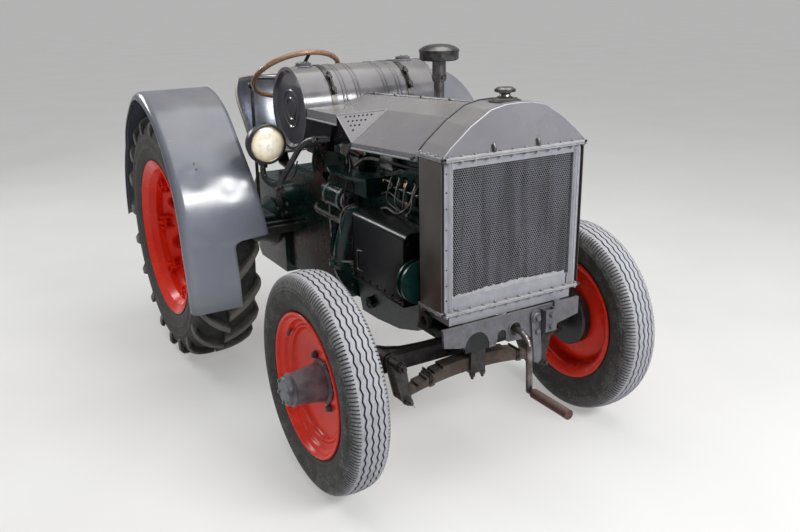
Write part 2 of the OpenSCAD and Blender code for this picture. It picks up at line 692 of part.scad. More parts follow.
// Front support between the engine and the front plate: two rails, a cross member and the spring's
// pedestal
support_z0 = 440;
rail_z0 = 575;
support_z1 = 672;
rail = [190, 215];
plate_x = 340;
plate_t = 12;
pedestal = 62;
lug_y = -302;
module front_support() color("darkslategray") placed() difference() {
  union() {
    both_sides() {
      block([front_face + seat_gap, rail[0], rail_z0], [plate_x - seat_gap, rail[1], support_z1]);
      block([front_face + seat_gap, 100, rail_z0], [front_face + 20, rail[1], support_z1]);
    }
    block([spring_x - leaf_w/2 - 12, -rail[1], rail_z0], [spring_x + leaf_w/2 + 12, rail[1],
      rail_z0 + 20]);
    block([spring_x - leaf_w/2 - 12, -pedestal, support_z0 + seat_gap], [spring_x + leaf_w/2 + 12,
      pedestal, rail_z0 + 2]);
    // Towing lug with its eye on the right
    block([177, lug_y, 626], [296, -rail[0] - 2, 644]);
    rod_y(218, 662, lug_y, lug_y + 16, 34);
  }
  rod_y(218, 662, lug_y - 5, lug_y + 20, 19);
}

// Plate across the front: two arches, the crank's hole, a bracket, a strap and a hanging bar
arch = [-165, 585];
small_arch = [-57, 600];
module front_plate() color("slategray") placed() {
  face = plate_x + plate_t;
  difference() {
    across([[-308, support_z1], [-302, 606], [-234, 590], [-112, 590], [-112, 564], [-84, 564],
      [-76, 590], [-38, 572],
      [-28, 566], [58, 560], [299, 606], [299, support_z1]], plate_x, face);
    rod_x(crank_y, crank_z, plate_x - 5, face + 5, 22);
    rod_x(arch.x, arch.y, plate_x - 5, face + 5, 50);
    rod_x(small_arch.x, small_arch.y, plate_x - 5, face + 5, 19);
    block([plate_x - 5, small_arch.x - 19, 550], [face + 5, small_arch.x + 19, small_arch.y]);
  }
  difference() {
    block([face - 1, 116, 580], [face + 34, 166, 664]);
    block([face + 6, 122, 570], [face + 28, 160, 680]);
  }
  block([face - 1, 175, 600], [face + 8, 200, 684]);
  link([90, 645], [105, 470], 22, 17, face - 1, face + 9);
}

// Starting crank with its grip
crank_r = 13;
crank_low = 404;
arm_x = 436;
// The bend follows a quarter circle in short steps
crank_bend = 58;
module starting_crank() color("gray") placed()
  bent_rod(concat([[front_face + seat_gap, crank_y, crank_z]],
    [for (a = [0:18:90]) [arm_x - crank_bend + crank_bend*sin(a), crank_y,
      crank_z - crank_bend*(1 - cos(a))]],
    [[arm_x + 8, crank_y, crank_low], [arm_x + 60, crank_y, crank_low]]), crank_r - 1);
module crank_grip() color("brown") placed() difference() {
  rod_x(crank_y, crank_low, arm_x + 34, crank_tip, crank_r + 5);
  rod_x(crank_y, crank_low, arm_x + 30, arm_x + 60 + seat_gap, crank_r - 1 + run);
}

// Radiator

rad_back = rad_front - rad_d;
core_half = rad_half_w - 12 - column_w + 4;
core_z0 = rad_low_z + 54;
core_z1 = rad_top_z - 36;
// Core: a close row of upright water tubes in front of the block of fins
tube_w = 6;
tube_step = 12;
tube_depth = 10;
module radiator_core() color("black") placed() {
  half = core_half - seat_gap;
  face = rad_front - 20;
  block([rad_back + 10, -half, core_z0 + seat_gap], [face - tube_depth, half, core_z1 - seat_gap]);
  tubes = floor((2*half - tube_w)/tube_step);
  for (i = [0:tubes]) translate([face - tube_depth - 1, -tubes*tube_step/2 + i*tube_step - tube_w/2,
    core_z0 + seat_gap])
    cube([tube_depth + 1, tube_w, core_z1 - core_z0 - 2*seat_gap]);
}

// Frame round the core: two columns, lower tank, upper header and the two flanges
flange_t = 9;
flange_out = 12;
module radiator_frame() color("darkgray") placed() difference() {
  union() {
    block([rad_back, -rad_half_w + flange_out, rad_low_z],
      [rad_front - flange_out, rad_half_w - flange_out, rad_top_z]);
    block([rad_back - 6, -rad_half_w, rad_low_z], [rad_front, rad_half_w, rad_low_z + flange_t]);
    block([rad_back - 6, -rad_half_w, rad_top_z - flange_t], [rad_front, rad_half_w, rad_top_z]);
    block([rad_back + 6, -rad_half_w + 32, support_z1 + seat_gap], [rad_front - 14, rad_half_w - 32,
      rad_low_z + 2]);
  }
  block([rad_back - 1, -core_half, core_z0], [rad_front + 1, core_half, core_z1]);
}

// Outline of the top tank's crown: [share of half width, share of rise]
crown = [[1, 0], [0.985, 0.07], [0.9, 0.23], [0.64, 0.62], [0.38, 0.91], [0.18, 0.99], [0, 1]];
function crown_y(k) = crown[k][0]*(rad_half_w - 4);
function crown_z(k, rise) = crown[k][1]*rise;
function crown_outline(rise, grow) = concat(
  [for (k = [0:len(crown) - 1]) [-crown_y(k) - grow*crown[k][0], rad_top_z + seat_gap + crown_z(k,
    rise + grow)]],
  [for (k = [len(crown) - 2:-1:0]) [crown_y(k) + grow*crown[k][0], rad_top_z + seat_gap + crown_z(k,
    rise + grow)]]);

// Top tank with its front moulding and flange
module top_tank() color("gray") placed() {
  across(crown_outline(tank_rise, 0), rad_back - 2, rad_front - 22);
  across(crown_outline(tank_rise, 5), rad_front - 22, rad_front - 8);
  across(crown_outline(tank_rise, 1), rad_front - 8, rad_front - 4);
}

// Filler cap on the top tank
cap_x = 264;
module radiator_cap() color("dimgray") placed() translate([cap_x, 0,
  rad_top_z + tank_rise + 2*seat_gap]) {
  rotate_extrude() polygon([[0, 0], [40, 0], [40, 5], [30, 12], [20, 16], [17, 24], [24, 28],
    [33, 30], [33, 40],
    [26, 45], [0, 47]]);
}

// Hood

hood_front = rad_back - 7 - seat_gap;
hood_rear = -drum_back + drum_r + 6;
eave_y = rad_half_w - 3;
eave_front_z = 1250;
eave_rear_z = 1219;
step_x = -300;
shelf_x = -420;
shelf_z = 1310;
mid_y = 150;
mid_drop = 36;
function ridge_z(x)
  = ridge_rear_z + (ridge_front_z - ridge_rear_z)*(x - hood_rear)/(hood_front - hood_rear);
function mid_z(x) = ridge_z(x) - mid_drop;

// One side of the hood: slope, stepped corner, flared shelf and the turned-down lips
module hood_side() {
  r0 = [hood_front, 0, ridge_z(hood_front)];
  ra = [step_x + 20, 0, ridge_z(step_x + 20)];
  r1 = [hood_rear, 0, ridge_z(hood_rear)];
  m0 = [hood_front, -mid_y, mid_z(hood_front)];
  a = [step_x + 20, -mid_y, mid_z(step_x + 20)];
  m1 = [hood_rear, -mid_y, mid_z(hood_rear)];
  e0 = [hood_front, -eave_y, eave_front_z];
  c = [step_x, -eave_y, eave_rear_z];
  b = [shelf_x, -eave_y, shelf_z];
  s1 = [hood_rear, -eave_y, shelf_z - 6];
  down = [0, 0, 22];
  panel([r0, ra, a, m0]);
  panel([ra, r1, m1, a]);
  panel([m0, a, c, e0]);
  panel([a, b, s1, m1]);
  panel([a, b, c]);
  panel([e0, c, e0 - down, c - down]);
  panel([b, s1, b - 1.8*down, s1 - 1.8*down]);
}
module hood() color("gray") placed() difference() {
  union() {
    hood_side();
    mirror([0, 1, 0]) hood_side();
    bar([hood_front, 0, ridge_z(hood_front)], [hood_rear, 0, ridge_z(hood_rear)], 6);
  }
  rod_z(intake.x, intake.y, 1200, 1400, intake_r + seat_gap);
  both_sides() vent_holes();
}

// Rows of vent holes in the triangular panel, each row shorter than the one above
vent_rows = [7, 5, 3, 1];
module vent_holes() {
  a = [step_x + 20, mid_y, mid_z(step_x + 20)];
  b = [shelf_x, eave_y, shelf_z];
  c = [step_x, eave_y, eave_rear_z];
  n = cross(a - b, c - b)/norm(cross(a - b, c - b));
  for (k = [0:len(vent_rows) - 1]) for (i = [0:vent_rows[k] - 1]) {
    p = b + (0.16 + 0.085*i)*(a - b) + (0.1 + 0.16*k)*(c - b);
    bar(p - 9*n, p + 9*n, 4.5, 8);
  }
}

// Fuel drum

drum_x = -drum_back;
// The drum sits a little to the left of the middle
drum_y = 30;
strap_off = 190;
strap_y = [drum_y - strap_off, drum_y + strap_off];
filler_off = 252;
strap_w = 26;
strap_t = 3;
// Beads rolled into the drum's shell, in pairs beside the straps, and the rings pressed into its ends
bead_off = [62, 78, 128, 144];
bead_h = 3;
end_rings = [46, 80];
function drum_end(s) = [for (r = s < 0 ? end_rings : [end_rings[1], end_rings[0]])
  each [[r + s*5, s*(drum_half_l - 13)], [r, s*(drum_half_l - 9)], [r - s*5, s*(drum_half_l - 13)]]];
module fuel_tank() color("gray") placed() translate([drum_x, drum_y, drum_z]) {
  turned_y(concat([[0, -drum_half_l + 13]], drum_end(-1), [[drum_r - 24, -drum_half_l + 13],
    [drum_r - 12, -drum_half_l],
    [drum_r + 2, -drum_half_l], [drum_r + 2, -drum_half_l + 8], [drum_r, -drum_half_l + 10],
      [drum_r, drum_half_l - 10],
    [drum_r + 2, drum_half_l - 8], [drum_r + 2, drum_half_l], [drum_r - 12, drum_half_l],
      [drum_r - 24, drum_half_l - 13]],
    drum_end(1), [[0, drum_half_l - 13]]));
  for (y = bead_off) both_sides() turned_y([[drum_r - 4, y - 6], [drum_r, y - 5],
    [drum_r + bead_h, y - 1],
    [drum_r + bead_h, y + 1], [drum_r, y + 5], [drum_r - 4, y + 6]]);
  for (y = [-filler_off, filler_off]) {
    rod_z(0, y, drum_r - 8, drum_r + 6, 26);
    rod_z(0, y, drum_r + 5, drum_r + 14, 34);
  }
}

// Straps that hold the drum, and the saddles under it
saddle_half = 18;
saddle_out = [strap_y[0] - saddle_half, strap_y[1] + saddle_half];
module tank_cradle() color("black") placed() {
  for (y = strap_y) translate([drum_x, y, drum_z]) turned_y([[drum_r + seat_gap, -strap_w/2],
    [drum_r + seat_gap + strap_t, -strap_w/2], [drum_r + seat_gap + strap_t, strap_w/2],
    [drum_r + seat_gap, strap_w/2]]);
  // Turnbuckles that draw the straps tight over the drum's front
  for (y = strap_y) translate([drum_x, y, drum_z]) rotate([0, -38, 0]) {
    for (a = [-9.5, 9.5]) rotate([0, a, 0]) block([drum_r + seat_gap + 0.5, -10, -8],
      [drum_r + 20, 10, 8]);
    rod_z(drum_r + 14, 0, -52, 52, 5);
  }
  difference() {
    for (y = strap_y) {
      block([drum_x - 110, y - saddle_half, drum_z - drum_r - 40], [drum_x + 110, y + saddle_half,
        drum_z - 120]);
      block([drum_x - 50, y - saddle_half, gearbox_top + seat_gap], [drum_x + 50, y + saddle_half,
        drum_z - drum_r - 38]);
    }
    rod_y(drum_x, drum_z, -400, 450, drum_r + seat_gap + 1);
  }
}

// Air intake

intake = [-440, 195];
intake_r = 22;
cap_z = 1505;
module air_precleaner() color("dimgray") placed() translate([intake.x, intake.y, 0]) {
  translate([0, 0, 970 + seat_gap]) cylinder(r = intake_r, h = cap_z + 20 - 970 - seat_gap);
  translate([0, 0, cap_z - 90]) cylinder(r = 30, h = 40);
  translate([0, 0, cap_z]) rotate_extrude()
    polygon([[0, 0], [40, 0], [78, 8], [82, 16], [78, 26], [58, 40], [30, 48], [0, 50]]);
}

// Boxes and castings on the sides of the engine

box_x = [-280, 122];
box_y = [-320, -fan_r - 8];
box_z = [684, 958];
box_round = 30;
module side_box() color("black") placed() {
  block([box_x[0], box_y[0], box_z[0]], [box_x[1], box_y[1], box_z[1] - box_round]);
  block([box_x[0], box_y[0] + box_round, box_z[0]], [box_x[1], box_y[1], box_z[1]]);
  rod_x(box_y[0] + box_round, box_z[1] - box_round, box_x[0], box_x[1], box_round);
  // Rib along the lower edge, and the feet that hold the box to the engine
  block([box_x[0], box_y[0] - 6, box_z[0]], [box_x[1], box_y[0] + 2, box_z[0] + 10]);
  block([box_x[0], box_y[1] - 1, box_z[0] + 14], [block_front - 6, -block_half + 20 - seat_gap,
    box_z[1] - 16]);
}

// Upright filter housing behind the box, with a domed top and a bolted foot
housing_x = -398;
housing_y = -246;
housing_r = 60;
module elbow_housing() color("darkslategray") placed() {
  translate([housing_x, housing_y, box_z[0]]) rotate_extrude() polygon([[0, 0], [housing_r + 8, 0],
    [housing_r + 8, 12],
    [housing_r, 16], [housing_r, 180], [housing_r - 8, 212], [housing_r - 28, 232], [0, 240]]);
  block([housing_x - 34, housing_y, box_z[0] + 20], [housing_x + 34, -block_half + 20 - seat_gap,
    box_z[0] + 190]);
}

// Exhaust on the left: manifold along the block and the pipe down to the rear
pipe_r = 28;
manifold_z = [900, 968];
module exhaust() color("saddlebrown") placed() {
  x0 = block_rear + 80;
  x1 = block_front - 60;
  y0 = block_half - 20 + seat_gap;
  block([x0, y0 + 22, manifold_z[0]], [x1, y0 + 78, manifold_z[1]]);
  for (i = [0:cylinders - 1]) block([x1 - 50 - i*pitch, y0, manifold_z[0] + 6],
    [x1 - 8 - i*pitch, y0 + 30, manifold_z[1] - 6]);
  bent_rod([[x0 + 60, y0 + 50, manifold_z[0] + 20], [x0 + 40, y0 + 54, manifold_z[0] - 40],
    [x0 + 10, y0 + 70, manifold_z[0] - 110], [x0 - 20, y0 + 84, sump_z + 212]], pipe_r);
}

// Fenders

// Rows along the fender's foot, with its notch: [angle from the rear axle, rise over the tyre's radius,
// inner edge from the middle]
fender_low = 610;
fender_shelf = 452;
fender_rise = fender_rear_r - rear_tyre_r;
fender_foot = [[-13, 93, fender_low], [-2, 68, fender_low], [9, 51, fender_low], [10.6, 53, fender_low - 6],
  [11.6, 55, fender_low - 32]];
// Rows along the rest of it, with the same columns
fender_rows = [[12.4, 56, fender_shelf], [30, 89, fender_shelf + 26], [47, 123, fender_in],
  [63, 147, fender_in], [75, 149, fender_in], [84, 137, fender_in], [92, 102, fender_in], [102, 67, fender_in],
  [116, fender_rise, fender_in], [148, fender_rise, fender_in], [180, fender_rise, fender_in]];
fender_axis_z = rear_tyre_r - 13;
fender_tuck = 50;

// A smooth curve through the rows p[1] and p[2]
function between(p, t) = (2*p[1] + (p[2] - p[0])*t + (2*p[0] - 5*p[1] + 4*p[2] - p[3])*t*t
  + (3*p[1] - p[0] - 3*p[2] + p[3])*t*t*t)/2;
row_steps = 4;
last_row = len(fender_rows) - 1;
fender_path = concat(fender_foot, [for (k = [0:last_row - 1]) for (i = [0:row_steps - 1])
  between([fender_rows[max(k - 1, 0)], fender_rows[k], fender_rows[k + 1],
    fender_rows[min(k + 2, last_row)]],
    i/row_steps)], [fender_rows[last_row]]);

function fender_pt(k, off) = let (t = fender_path[k][0], r = rear_tyre_r + fender_path[k][1] + off)
  [rear_x + r*cos(t), fender_axis_z + r*sin(t)];

// Cross section of the fender: [distance from the middle, drop below the sheet]
function fender_section(k) = let (t = fender_path[k][0],
    edge = fender_out - (t > 90 ? fender_tuck*min(1, (t - 90)/50) : 0), inner = fender_path[k][2])
  concat([[inner, 0]], [for (a = [0:22.5:90]) [edge - fender_roll + fender_roll*sin(a),
    -fender_roll*(1 - cos(a))]],
    [for (a = [90:-22.5:0]) [edge - fender_roll + (fender_roll - sheet_t)*sin(a),
      -fender_roll + (fender_roll - sheet_t)*cos(a)]],
    [[inner, -sheet_t]]);

module fender_shape() {
  n = len(fender_path);
  m = len(fender_section(0));
  pts = [for (k = [0:n - 1]) for (s = fender_section(k)) let (p = fender_pt(k, s[1])) [p.x, s[0], p.y]];
  side = [for (k = [0:n - 2]) for (j = [0:m - 1]) let (j2 = (j + 1) % m, a = k*m + j, b = k*m + j2)
    [a, b, b + m, a + m]];
  tris = [for (q = side) each [[q[0], q[1], q[2]], [q[0], q[2], q[3]]]];
  polyhedron(points = pts, faces = concat(tris, [[for (j = [m - 1:-1:0]) j]],
    [[for (j = [0:m - 1]) (n - 1)*m + j]]));
}
module fender_left() color("lightsteelblue") placed() fender_shape();
module fender_right() color("lightsteelblue") placed() mirror([0, 1, 0]) fender_shape();

// Footboards beside the gearbox, each on two brackets
deck_z = 735;
deck_in = 300;
deck_half = 445;
deck_front = -1140;
deck_rear = rear_x + 210;
deck_t = 8;
bracket_w = 30;
module platform() color("dimgray") placed() both_sides() {
  block([deck_rear, deck_in, deck_z], [deck_front, deck_half, deck_z + deck_t]);
  for (x = [deck_rear + 20, deck_front - 20 - bracket_w]) {
    block([x, gearbox_half + seat_gap, deck_z - 95], [x + bracket_w, deck_half - 20, deck_z - 60]);
    block([x, deck_half - 50, deck_z - 62], [x + bracket_w, deck_half - 20, deck_z + 1]);
  }
}

// Stays from the axle housing up to the fenders
stay_y = trumpet_end - 60;
stay_r = 14;
// The stays' tops lie under the flattest part of the sheet, half way between two rows
stay_k = len(fender_foot) + 4*row_steps + row_steps/2;
sheet_run = fender_pt(stay_k - 1, 0) - fender_pt(stay_k + 1, 0);
stay_at = fender_pt(stay_k, 0) - (sheet_t + stay_r + seat_gap)*[-sheet_run.y,
  sheet_run.x]/norm(sheet_run);
function trumpet_at(y) = trumpet_r[1]
  - (trumpet_r[1] - trumpet_r[2])*(y - trumpet_in)/(trumpet_end - 24 - trumpet_in);
module fender_stays() color("dimgray") placed() both_sides() {
  bent_rod([[rear_x, stay_y, axle_z + trumpet_at(stay_y) + seat_gap + 1], [rear_x, stay_y, axle_z + 200],
    [stay_at.x, stay_y, stay_at.y - 30], [stay_at.x, stay_y + 30, stay_at.y],
      [stay_at.x, fender_in + 90, stay_at.y]], stay_r);
}

// Seat

seat_x = -1640;
seat_z = 985;
seat_r = 215;
module seat() color("gray") placed() translate([seat_x, 0, seat_z]) {
  rotate_extrude() polygon([[0, -24], [120, -20], [seat_r, 0], [seat_r, 4], [120, -16], [0, -20]]);
  rotate([0, 0, 92]) rotate_extrude(angle = 176) polygon([[seat_r - 5, 2], [seat_r, 0],
    [seat_r + 22, 340],
    [seat_r + 34, 352], [seat_r + 34, 360], [seat_r + 14, 356]]);
}
// Bent flat spring under the seat, as the middle line of a bar of one thickness
spring_line = [[rear_x + 80, housing_top + 6 + seat_gap], [seat_x + 20, housing_top + 8],
  [seat_x - 80, housing_top + 22],
  [seat_x - 104, housing_top + 56], [seat_x - 84, seat_z - 38], [seat_x + 20, seat_z - 24 - 6 - seat_gap],
  [seat_x + 60, seat_z - 24 - 6 - seat_gap]];
// Outline of a strip of thickness t along a row of points
function strip_n(pts, i) = let (a = pts[max(i - 1, 0)], b = pts[min(i + 1, len(pts) - 1)], d = b - a)
  [-d.y, d.x]/norm(d);
function strip(pts, t) = concat([for (i = [0:len(pts) - 1]) pts[i] + strip_n(pts, i)*t/2],
  [for (i = [len(pts) - 1:-1:0]) pts[i] - strip_n(pts, i)*t/2]);
module seat_spring() color("dimgray") placed() along(strip(spring_line, 12), -32, 32);

// Steering column and wheel

col_dir = [sin(column_lean), 0, -cos(column_lean)];
steer_c = [-1210, -118, 1392];
column_r = 22;
col_len = (steer_c.z - gearbox_top - cover_h - column_r*sin(column_lean) - seat_gap)/cos(column_lean);
module steering_column() color("dimgray") placed() difference() {
  bar(steer_c + 36*col_dir, steer_c + col_len*col_dir, column_r);
  bar(steer_c + 20*col_dir, steer_c + 130*col_dir, 10 + run);
}

// Places the children with their Z axis up the steering column
module on_column() placed() translate(steer_c) rotate([0, -column_lean, 0]) children();

module steering_rim() color("peru") on_column() rotate_extrude() translate([steer_r, 0])
  circle(r = steer_rim, $fn = 24);
module steering_spider() color("black") on_column() {
  rotate_extrude() polygon([[0, -100], [10, -100], [10, -34], [30, -34], [34, -20], [28, 6], [0, 10]]);
  difference() {
    for (i = [0:spokes - 1]) rotate([0, 0, i*360/spokes]) bar([20, 0, -14], [steer_r - 2, 0, 0], 8);
    rotate_extrude() translate([steer_r, 0]) circle(r = steer_rim + seat_gap, $fn = 24);
  }
}

// Hand lever beside the seat
module hand_lever() color("dimgray") placed() {
  foot = [deck_rear + 22, -deck_in - 30, deck_z + deck_t + seat_gap];
  bent_rod([foot, foot + [0, 0, 40], [-1390, -280, 1330]], 8);
  translate([-1390, -280, 1338]) sphere(r = 17, $fn = 32);
}

// Headlamps

lamp_r = 86;
lamp_c = [-798, 451, 1156];
module lamp_shell() translate(lamp_c) rotate([0, 90, 0]) {
  difference() {
    rotate_extrude() polygon([[0, -112], [34, -106], [62, -84], [78, -48], [80, -14], [lamp_r, -12],
      [lamp_r, 8],
      [lamp_r - 8, 12], [lamp_r - 12, 12], [lamp_r - 12, 0], [0, 0]]);
    translate([0, 0, 0]) cylinder(r = lamp_r - 12, h = 20);
  }
}
module lamp_lens() translate(lamp_c + [seat_gap, 0, 0]) rotate([0, 90, 0])
  rotate_extrude() polygon([[0, 0], [lamp_r - 12 - seat_gap, 0], [lamp_r - 12 - seat_gap, 10],
    [50, 18], [0, 22]]);
module headlamps() color("black") placed() both_sides() lamp_shell();
module lamp_lenses() color("lemonchiffon") placed() both_sides() lamp_lens();
lamp_tube_r = 12;
module lamp_tube(inner) bent_rod([lamp_c + [-48, 0, -79], lamp_c + [-48, 0, -130],
  [lamp_c.x - 30, lamp_c.y - 30, lamp_c.z - 162], [lamp_c.x - 12, lamp_c.y - 72, lamp_c.z - 140],
  [lamp_c.x - 4, lamp_c.y - 112, lamp_c.z - 72], [lamp_c.x - 4, inner + seat_gap, lamp_c.z - 72]],
    lamp_tube_r);
module lamp_brackets() color("black") placed() {
  lamp_tube(saddle_out[1]);
  mirror([0, 1, 0]) lamp_tube(-saddle_out[0]);
}

// Drawbar

hitch_x = rear_x - 520;
hitch_z = 430;
module drawbar() color("dimgray") placed() difference() {
  union() {
    block([hitch_x, -45, hitch_z - hitch_t/2], [rear_x - 200 - seat_gap, 45, hitch_z + hitch_t/2]);
    rod_z(hitch_x, 0, hitch_z - hitch_t/2, hitch_z + hitch_t/2, 45);
    block([rear_x - 222, -90, hitch_z - 40], [rear_x - 200 - seat_gap, 90, hitch_z + 40]);
  }
  rod_z(hitch_x, 0, hitch_z - 40, hitch_z + 40, hitch_r);
}

engine_block();
gearbox();
rear_axle();
front_support();
front_plate();
radiator_core();
radiator_frame();
top_tank();
radiator_cap();
hood();
fuel_tank();
tank_cradle();
air_precleaner();
side_box();
elbow_housing();
exhaust();
fender_left();
fender_right();
platform();
fender_stays();
seat();
seat_spring();
steering_column();
steering_rim();
steering_spider();
hand_lever();
headlamps();
lamp_lenses();
lamp_brackets();
drawbar();
axle_beam();
leaf_spring();
spring_mounts();
knuckle_right();
knuckle_left();
track_rod();
drag_link();
drop_arm();
fan();
starting_crank();
crank_grip();
front_tyre_right();
front_tyre_left();
front_wheel_right();
front_wheel_left();
front_hub_right();
front_hub_left();
rear_tyre_right();
rear_tyre_left();
rear_wheel_right();
rear_wheel_left();
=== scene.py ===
import math
import random

import bmesh
import bpy
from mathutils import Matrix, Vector


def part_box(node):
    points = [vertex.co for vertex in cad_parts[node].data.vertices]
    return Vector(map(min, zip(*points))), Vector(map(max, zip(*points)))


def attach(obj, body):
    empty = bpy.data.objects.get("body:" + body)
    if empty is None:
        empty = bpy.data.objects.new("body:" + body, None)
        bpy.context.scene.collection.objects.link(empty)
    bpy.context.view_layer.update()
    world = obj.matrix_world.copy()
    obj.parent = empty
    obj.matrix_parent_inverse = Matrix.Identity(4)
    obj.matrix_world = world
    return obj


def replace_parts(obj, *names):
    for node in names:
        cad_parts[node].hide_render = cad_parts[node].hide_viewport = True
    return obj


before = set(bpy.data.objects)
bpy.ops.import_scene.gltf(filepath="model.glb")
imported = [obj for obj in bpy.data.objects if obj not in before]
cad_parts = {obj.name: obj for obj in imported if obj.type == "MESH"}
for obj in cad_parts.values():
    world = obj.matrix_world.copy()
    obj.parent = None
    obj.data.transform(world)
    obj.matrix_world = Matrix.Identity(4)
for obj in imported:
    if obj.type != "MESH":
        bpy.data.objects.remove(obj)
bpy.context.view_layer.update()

random.seed(7)


# The floor it stands on, the soft daylight over it, and the camera where the photograph was taken from.
# The floor is pale trowelled concrete. The light is an overcast sky, with broad windows above, in front
# and behind.
def linear(colour):
    # An sRGB hex colour as the linear numbers that a shader takes
    parts = [int(colour[i:i + 2], 16) / 255 for i in (1, 3, 5)]
    return [p / 12.92 if p <= 0.04045 else ((p + 0.055) / 1.055) ** 2.4 for p in parts] + [1.0]


def add(finish, kind, sockets=(), ramp=(), **settings):
    # One shader node with its settings, the stops of its ramp, and what goes into its sockets
    item = finish.node_tree.nodes.new("ShaderNode" + kind)
    for name, value in settings.items():
        setattr(item, name, value)
    if ramp:
        stops = item.color_ramp.elements
        stops[0].position, stops[0].color = ramp[0][0], linear(ramp[0][1])
        stops[1].position, stops[1].color = ramp[-1][0], linear(ramp[-1][1])
        for place, colour in ramp[1:-1]:
            stops.new(place).color = linear(colour)
    for name, value in dict(sockets).items():
        if isinstance(value, bpy.types.Node):
            value = value.outputs[0]
        if isinstance(value, bpy.types.NodeSocket):
            finish.node_tree.links.new(value, item.inputs[name])
        else:
            item.inputs[name].default_value = value
    return item


def new_finish(name):
    # An empty finish, and the places on the piece that its patterns are laid out by
    finish = bpy.data.materials.new(name)
    finish.use_nodes = True
    finish.node_tree.nodes.clear()
    return finish, add(finish, "TexCoord").outputs["Object"]


def close(finish, sockets, relief=None, strength=0.5, depth=0.0006):
    # The surface that light meets, with its relief, joined to the finish's output
    if relief:
        sockets["Normal"] = add(finish, "Bump", {"Height": relief, "Strength": strength, "Distance": depth})
    skin = add(finish, "BsdfPrincipled", sockets)
    add(finish, "OutputMaterial", {"Surface": skin})
    return finish


# Trowelled concrete: faint cloudy patches a hand wide and a fine sandy grain, almost without gloss.
# It is seen a little paler than it is lit, and keeps the tractor's shadow.
concrete, place = new_finish("trowelled_concrete")
clouds = add(concrete, "TexNoise", {"Vector": place, "Scale": 1000 / 900, "Detail": 5.0})
sand = add(concrete, "TexNoise", {"Vector": place, "Scale": 1000 / 6, "Detail": 2.0})
ground = add(concrete, "BsdfPrincipled", {
    "Base Color": add(concrete, "ValToRGB", {"Fac": clouds}, [(0.3, "#CFCFCD"), (0.7, "#D9D9D8")]),
    "Roughness": 0.75,
    "Normal": add(concrete, "Bump", {"Height": sand, "Strength": 0.25, "Distance": 0.0006})})
pale = add(concrete, "Emission", {"Color": linear("#DEDDDB"), "Strength": 1.0})
ray = add(concrete, "LightPath").outputs
seen = add(concrete, "Math", {0: ray["Is Camera Ray"], 1: ray["Is Glossy Ray"]}, operation="MAXIMUM")
seen = add(concrete, "Math", {0: seen, 1: ray["Is Transmission Ray"]}, operation="MAXIMUM")
paler_by = 0.45
share = add(concrete, "Math", {0: seen, 1: paler_by}, operation="MULTIPLY")
mixed = add(concrete, "MixShader", {0: share, 1: ground, 2: pale})
add(concrete, "OutputMaterial", {"Surface": mixed})
bpy.ops.mesh.primitive_plane_add(size=1600)
floor = bpy.context.object
floor.name = "floor"
floor.data.materials.append(concrete)

sky = bpy.data.worlds.new("overcast_sky")
bpy.context.scene.world = sky
sky.use_nodes = True
sky.node_tree.nodes.clear()
light = add(sky, "Background", {"Color": linear("#F2F5FA"), "Strength": 0.36})
pale = add(sky, "Background", {"Color": linear("#C4C4C3"), "Strength": 1.0})
ray = add(sky, "LightPath").outputs
backdrop = add(sky, "MixShader", {0: ray["Is Camera Ray"], 1: light, 2: pale})
add(sky, "OutputWorld", {"Surface": backdrop})

for name, spot, aim, wide, tall, watts in (
        ("roof_window", (0.6, 0.1, 4.8), (0, 0, 0.6), 5.0, 5.0, 200),
        ("open_door", (4.9, 1.3, 3.6), (0, 0, 0.8), 2.9, 1.1, 340),
        ("back_window", (-4.3, -2.6, 3.3), (0.6, -0.3, 0.9), 2.4, 0.6, 95)):
    lamp = bpy.data.lights.new(name, "AREA")
    lamp.shape = "RECTANGLE"
    lamp.size, lamp.size_y, lamp.energy = wide, tall, watts
    holder = bpy.data.objects.new(name, lamp)
    holder.location = spot
    holder.rotation_euler = (Vector(aim) - Vector(spot)).to_track_quat("-Z", "Y").to_euler()
    bpy.context.scene.collection.objects.link(holder)

camera = bpy.data.objects.new("camera", bpy.data.cameras.new("camera"))
camera.location = (3.2443, -1.7133, 1.7819)
camera.rotation_euler = [math.radians(a) for a in (71.158, 1.060, 59.511)]
camera.data.lens = 36.858
bpy.context.scene.collection.objects.link(camera)
bpy.context.scene.camera = camera
bpy.context.scene.view_settings.view_transform = "Standard"


# Engine, gearbox and rear axle: iron castings, sprayed with dark green enamel after they were bolted up.
# Oil and road dust have dulled the paint, most of all on what faces up.
def dusty(finish, shade, place, dust, share):
    # Dust that has settled on what faces up, thicker in some places than in others
    up = add(finish, "SeparateXYZ", {"Vector": add(finish, "NewGeometry").outputs["Normal"]})
    drift = add(finish, "TexNoise", {"Vector": place, "Scale": 1000 / 190, "Detail": 3.0})
    lying = add(finish, "MapRange", {"Value": up.outputs["Z"], "From Min": 0.1, "From Max": 1.0,
                                     "To Max": share})
    thick = add(finish, "Math", {0: lying, 1: drift}, operation="MULTIPLY")
    return add(finish, "MixRGB", {"Fac": thick, "Color1": shade, "Color2": linear(dust)})


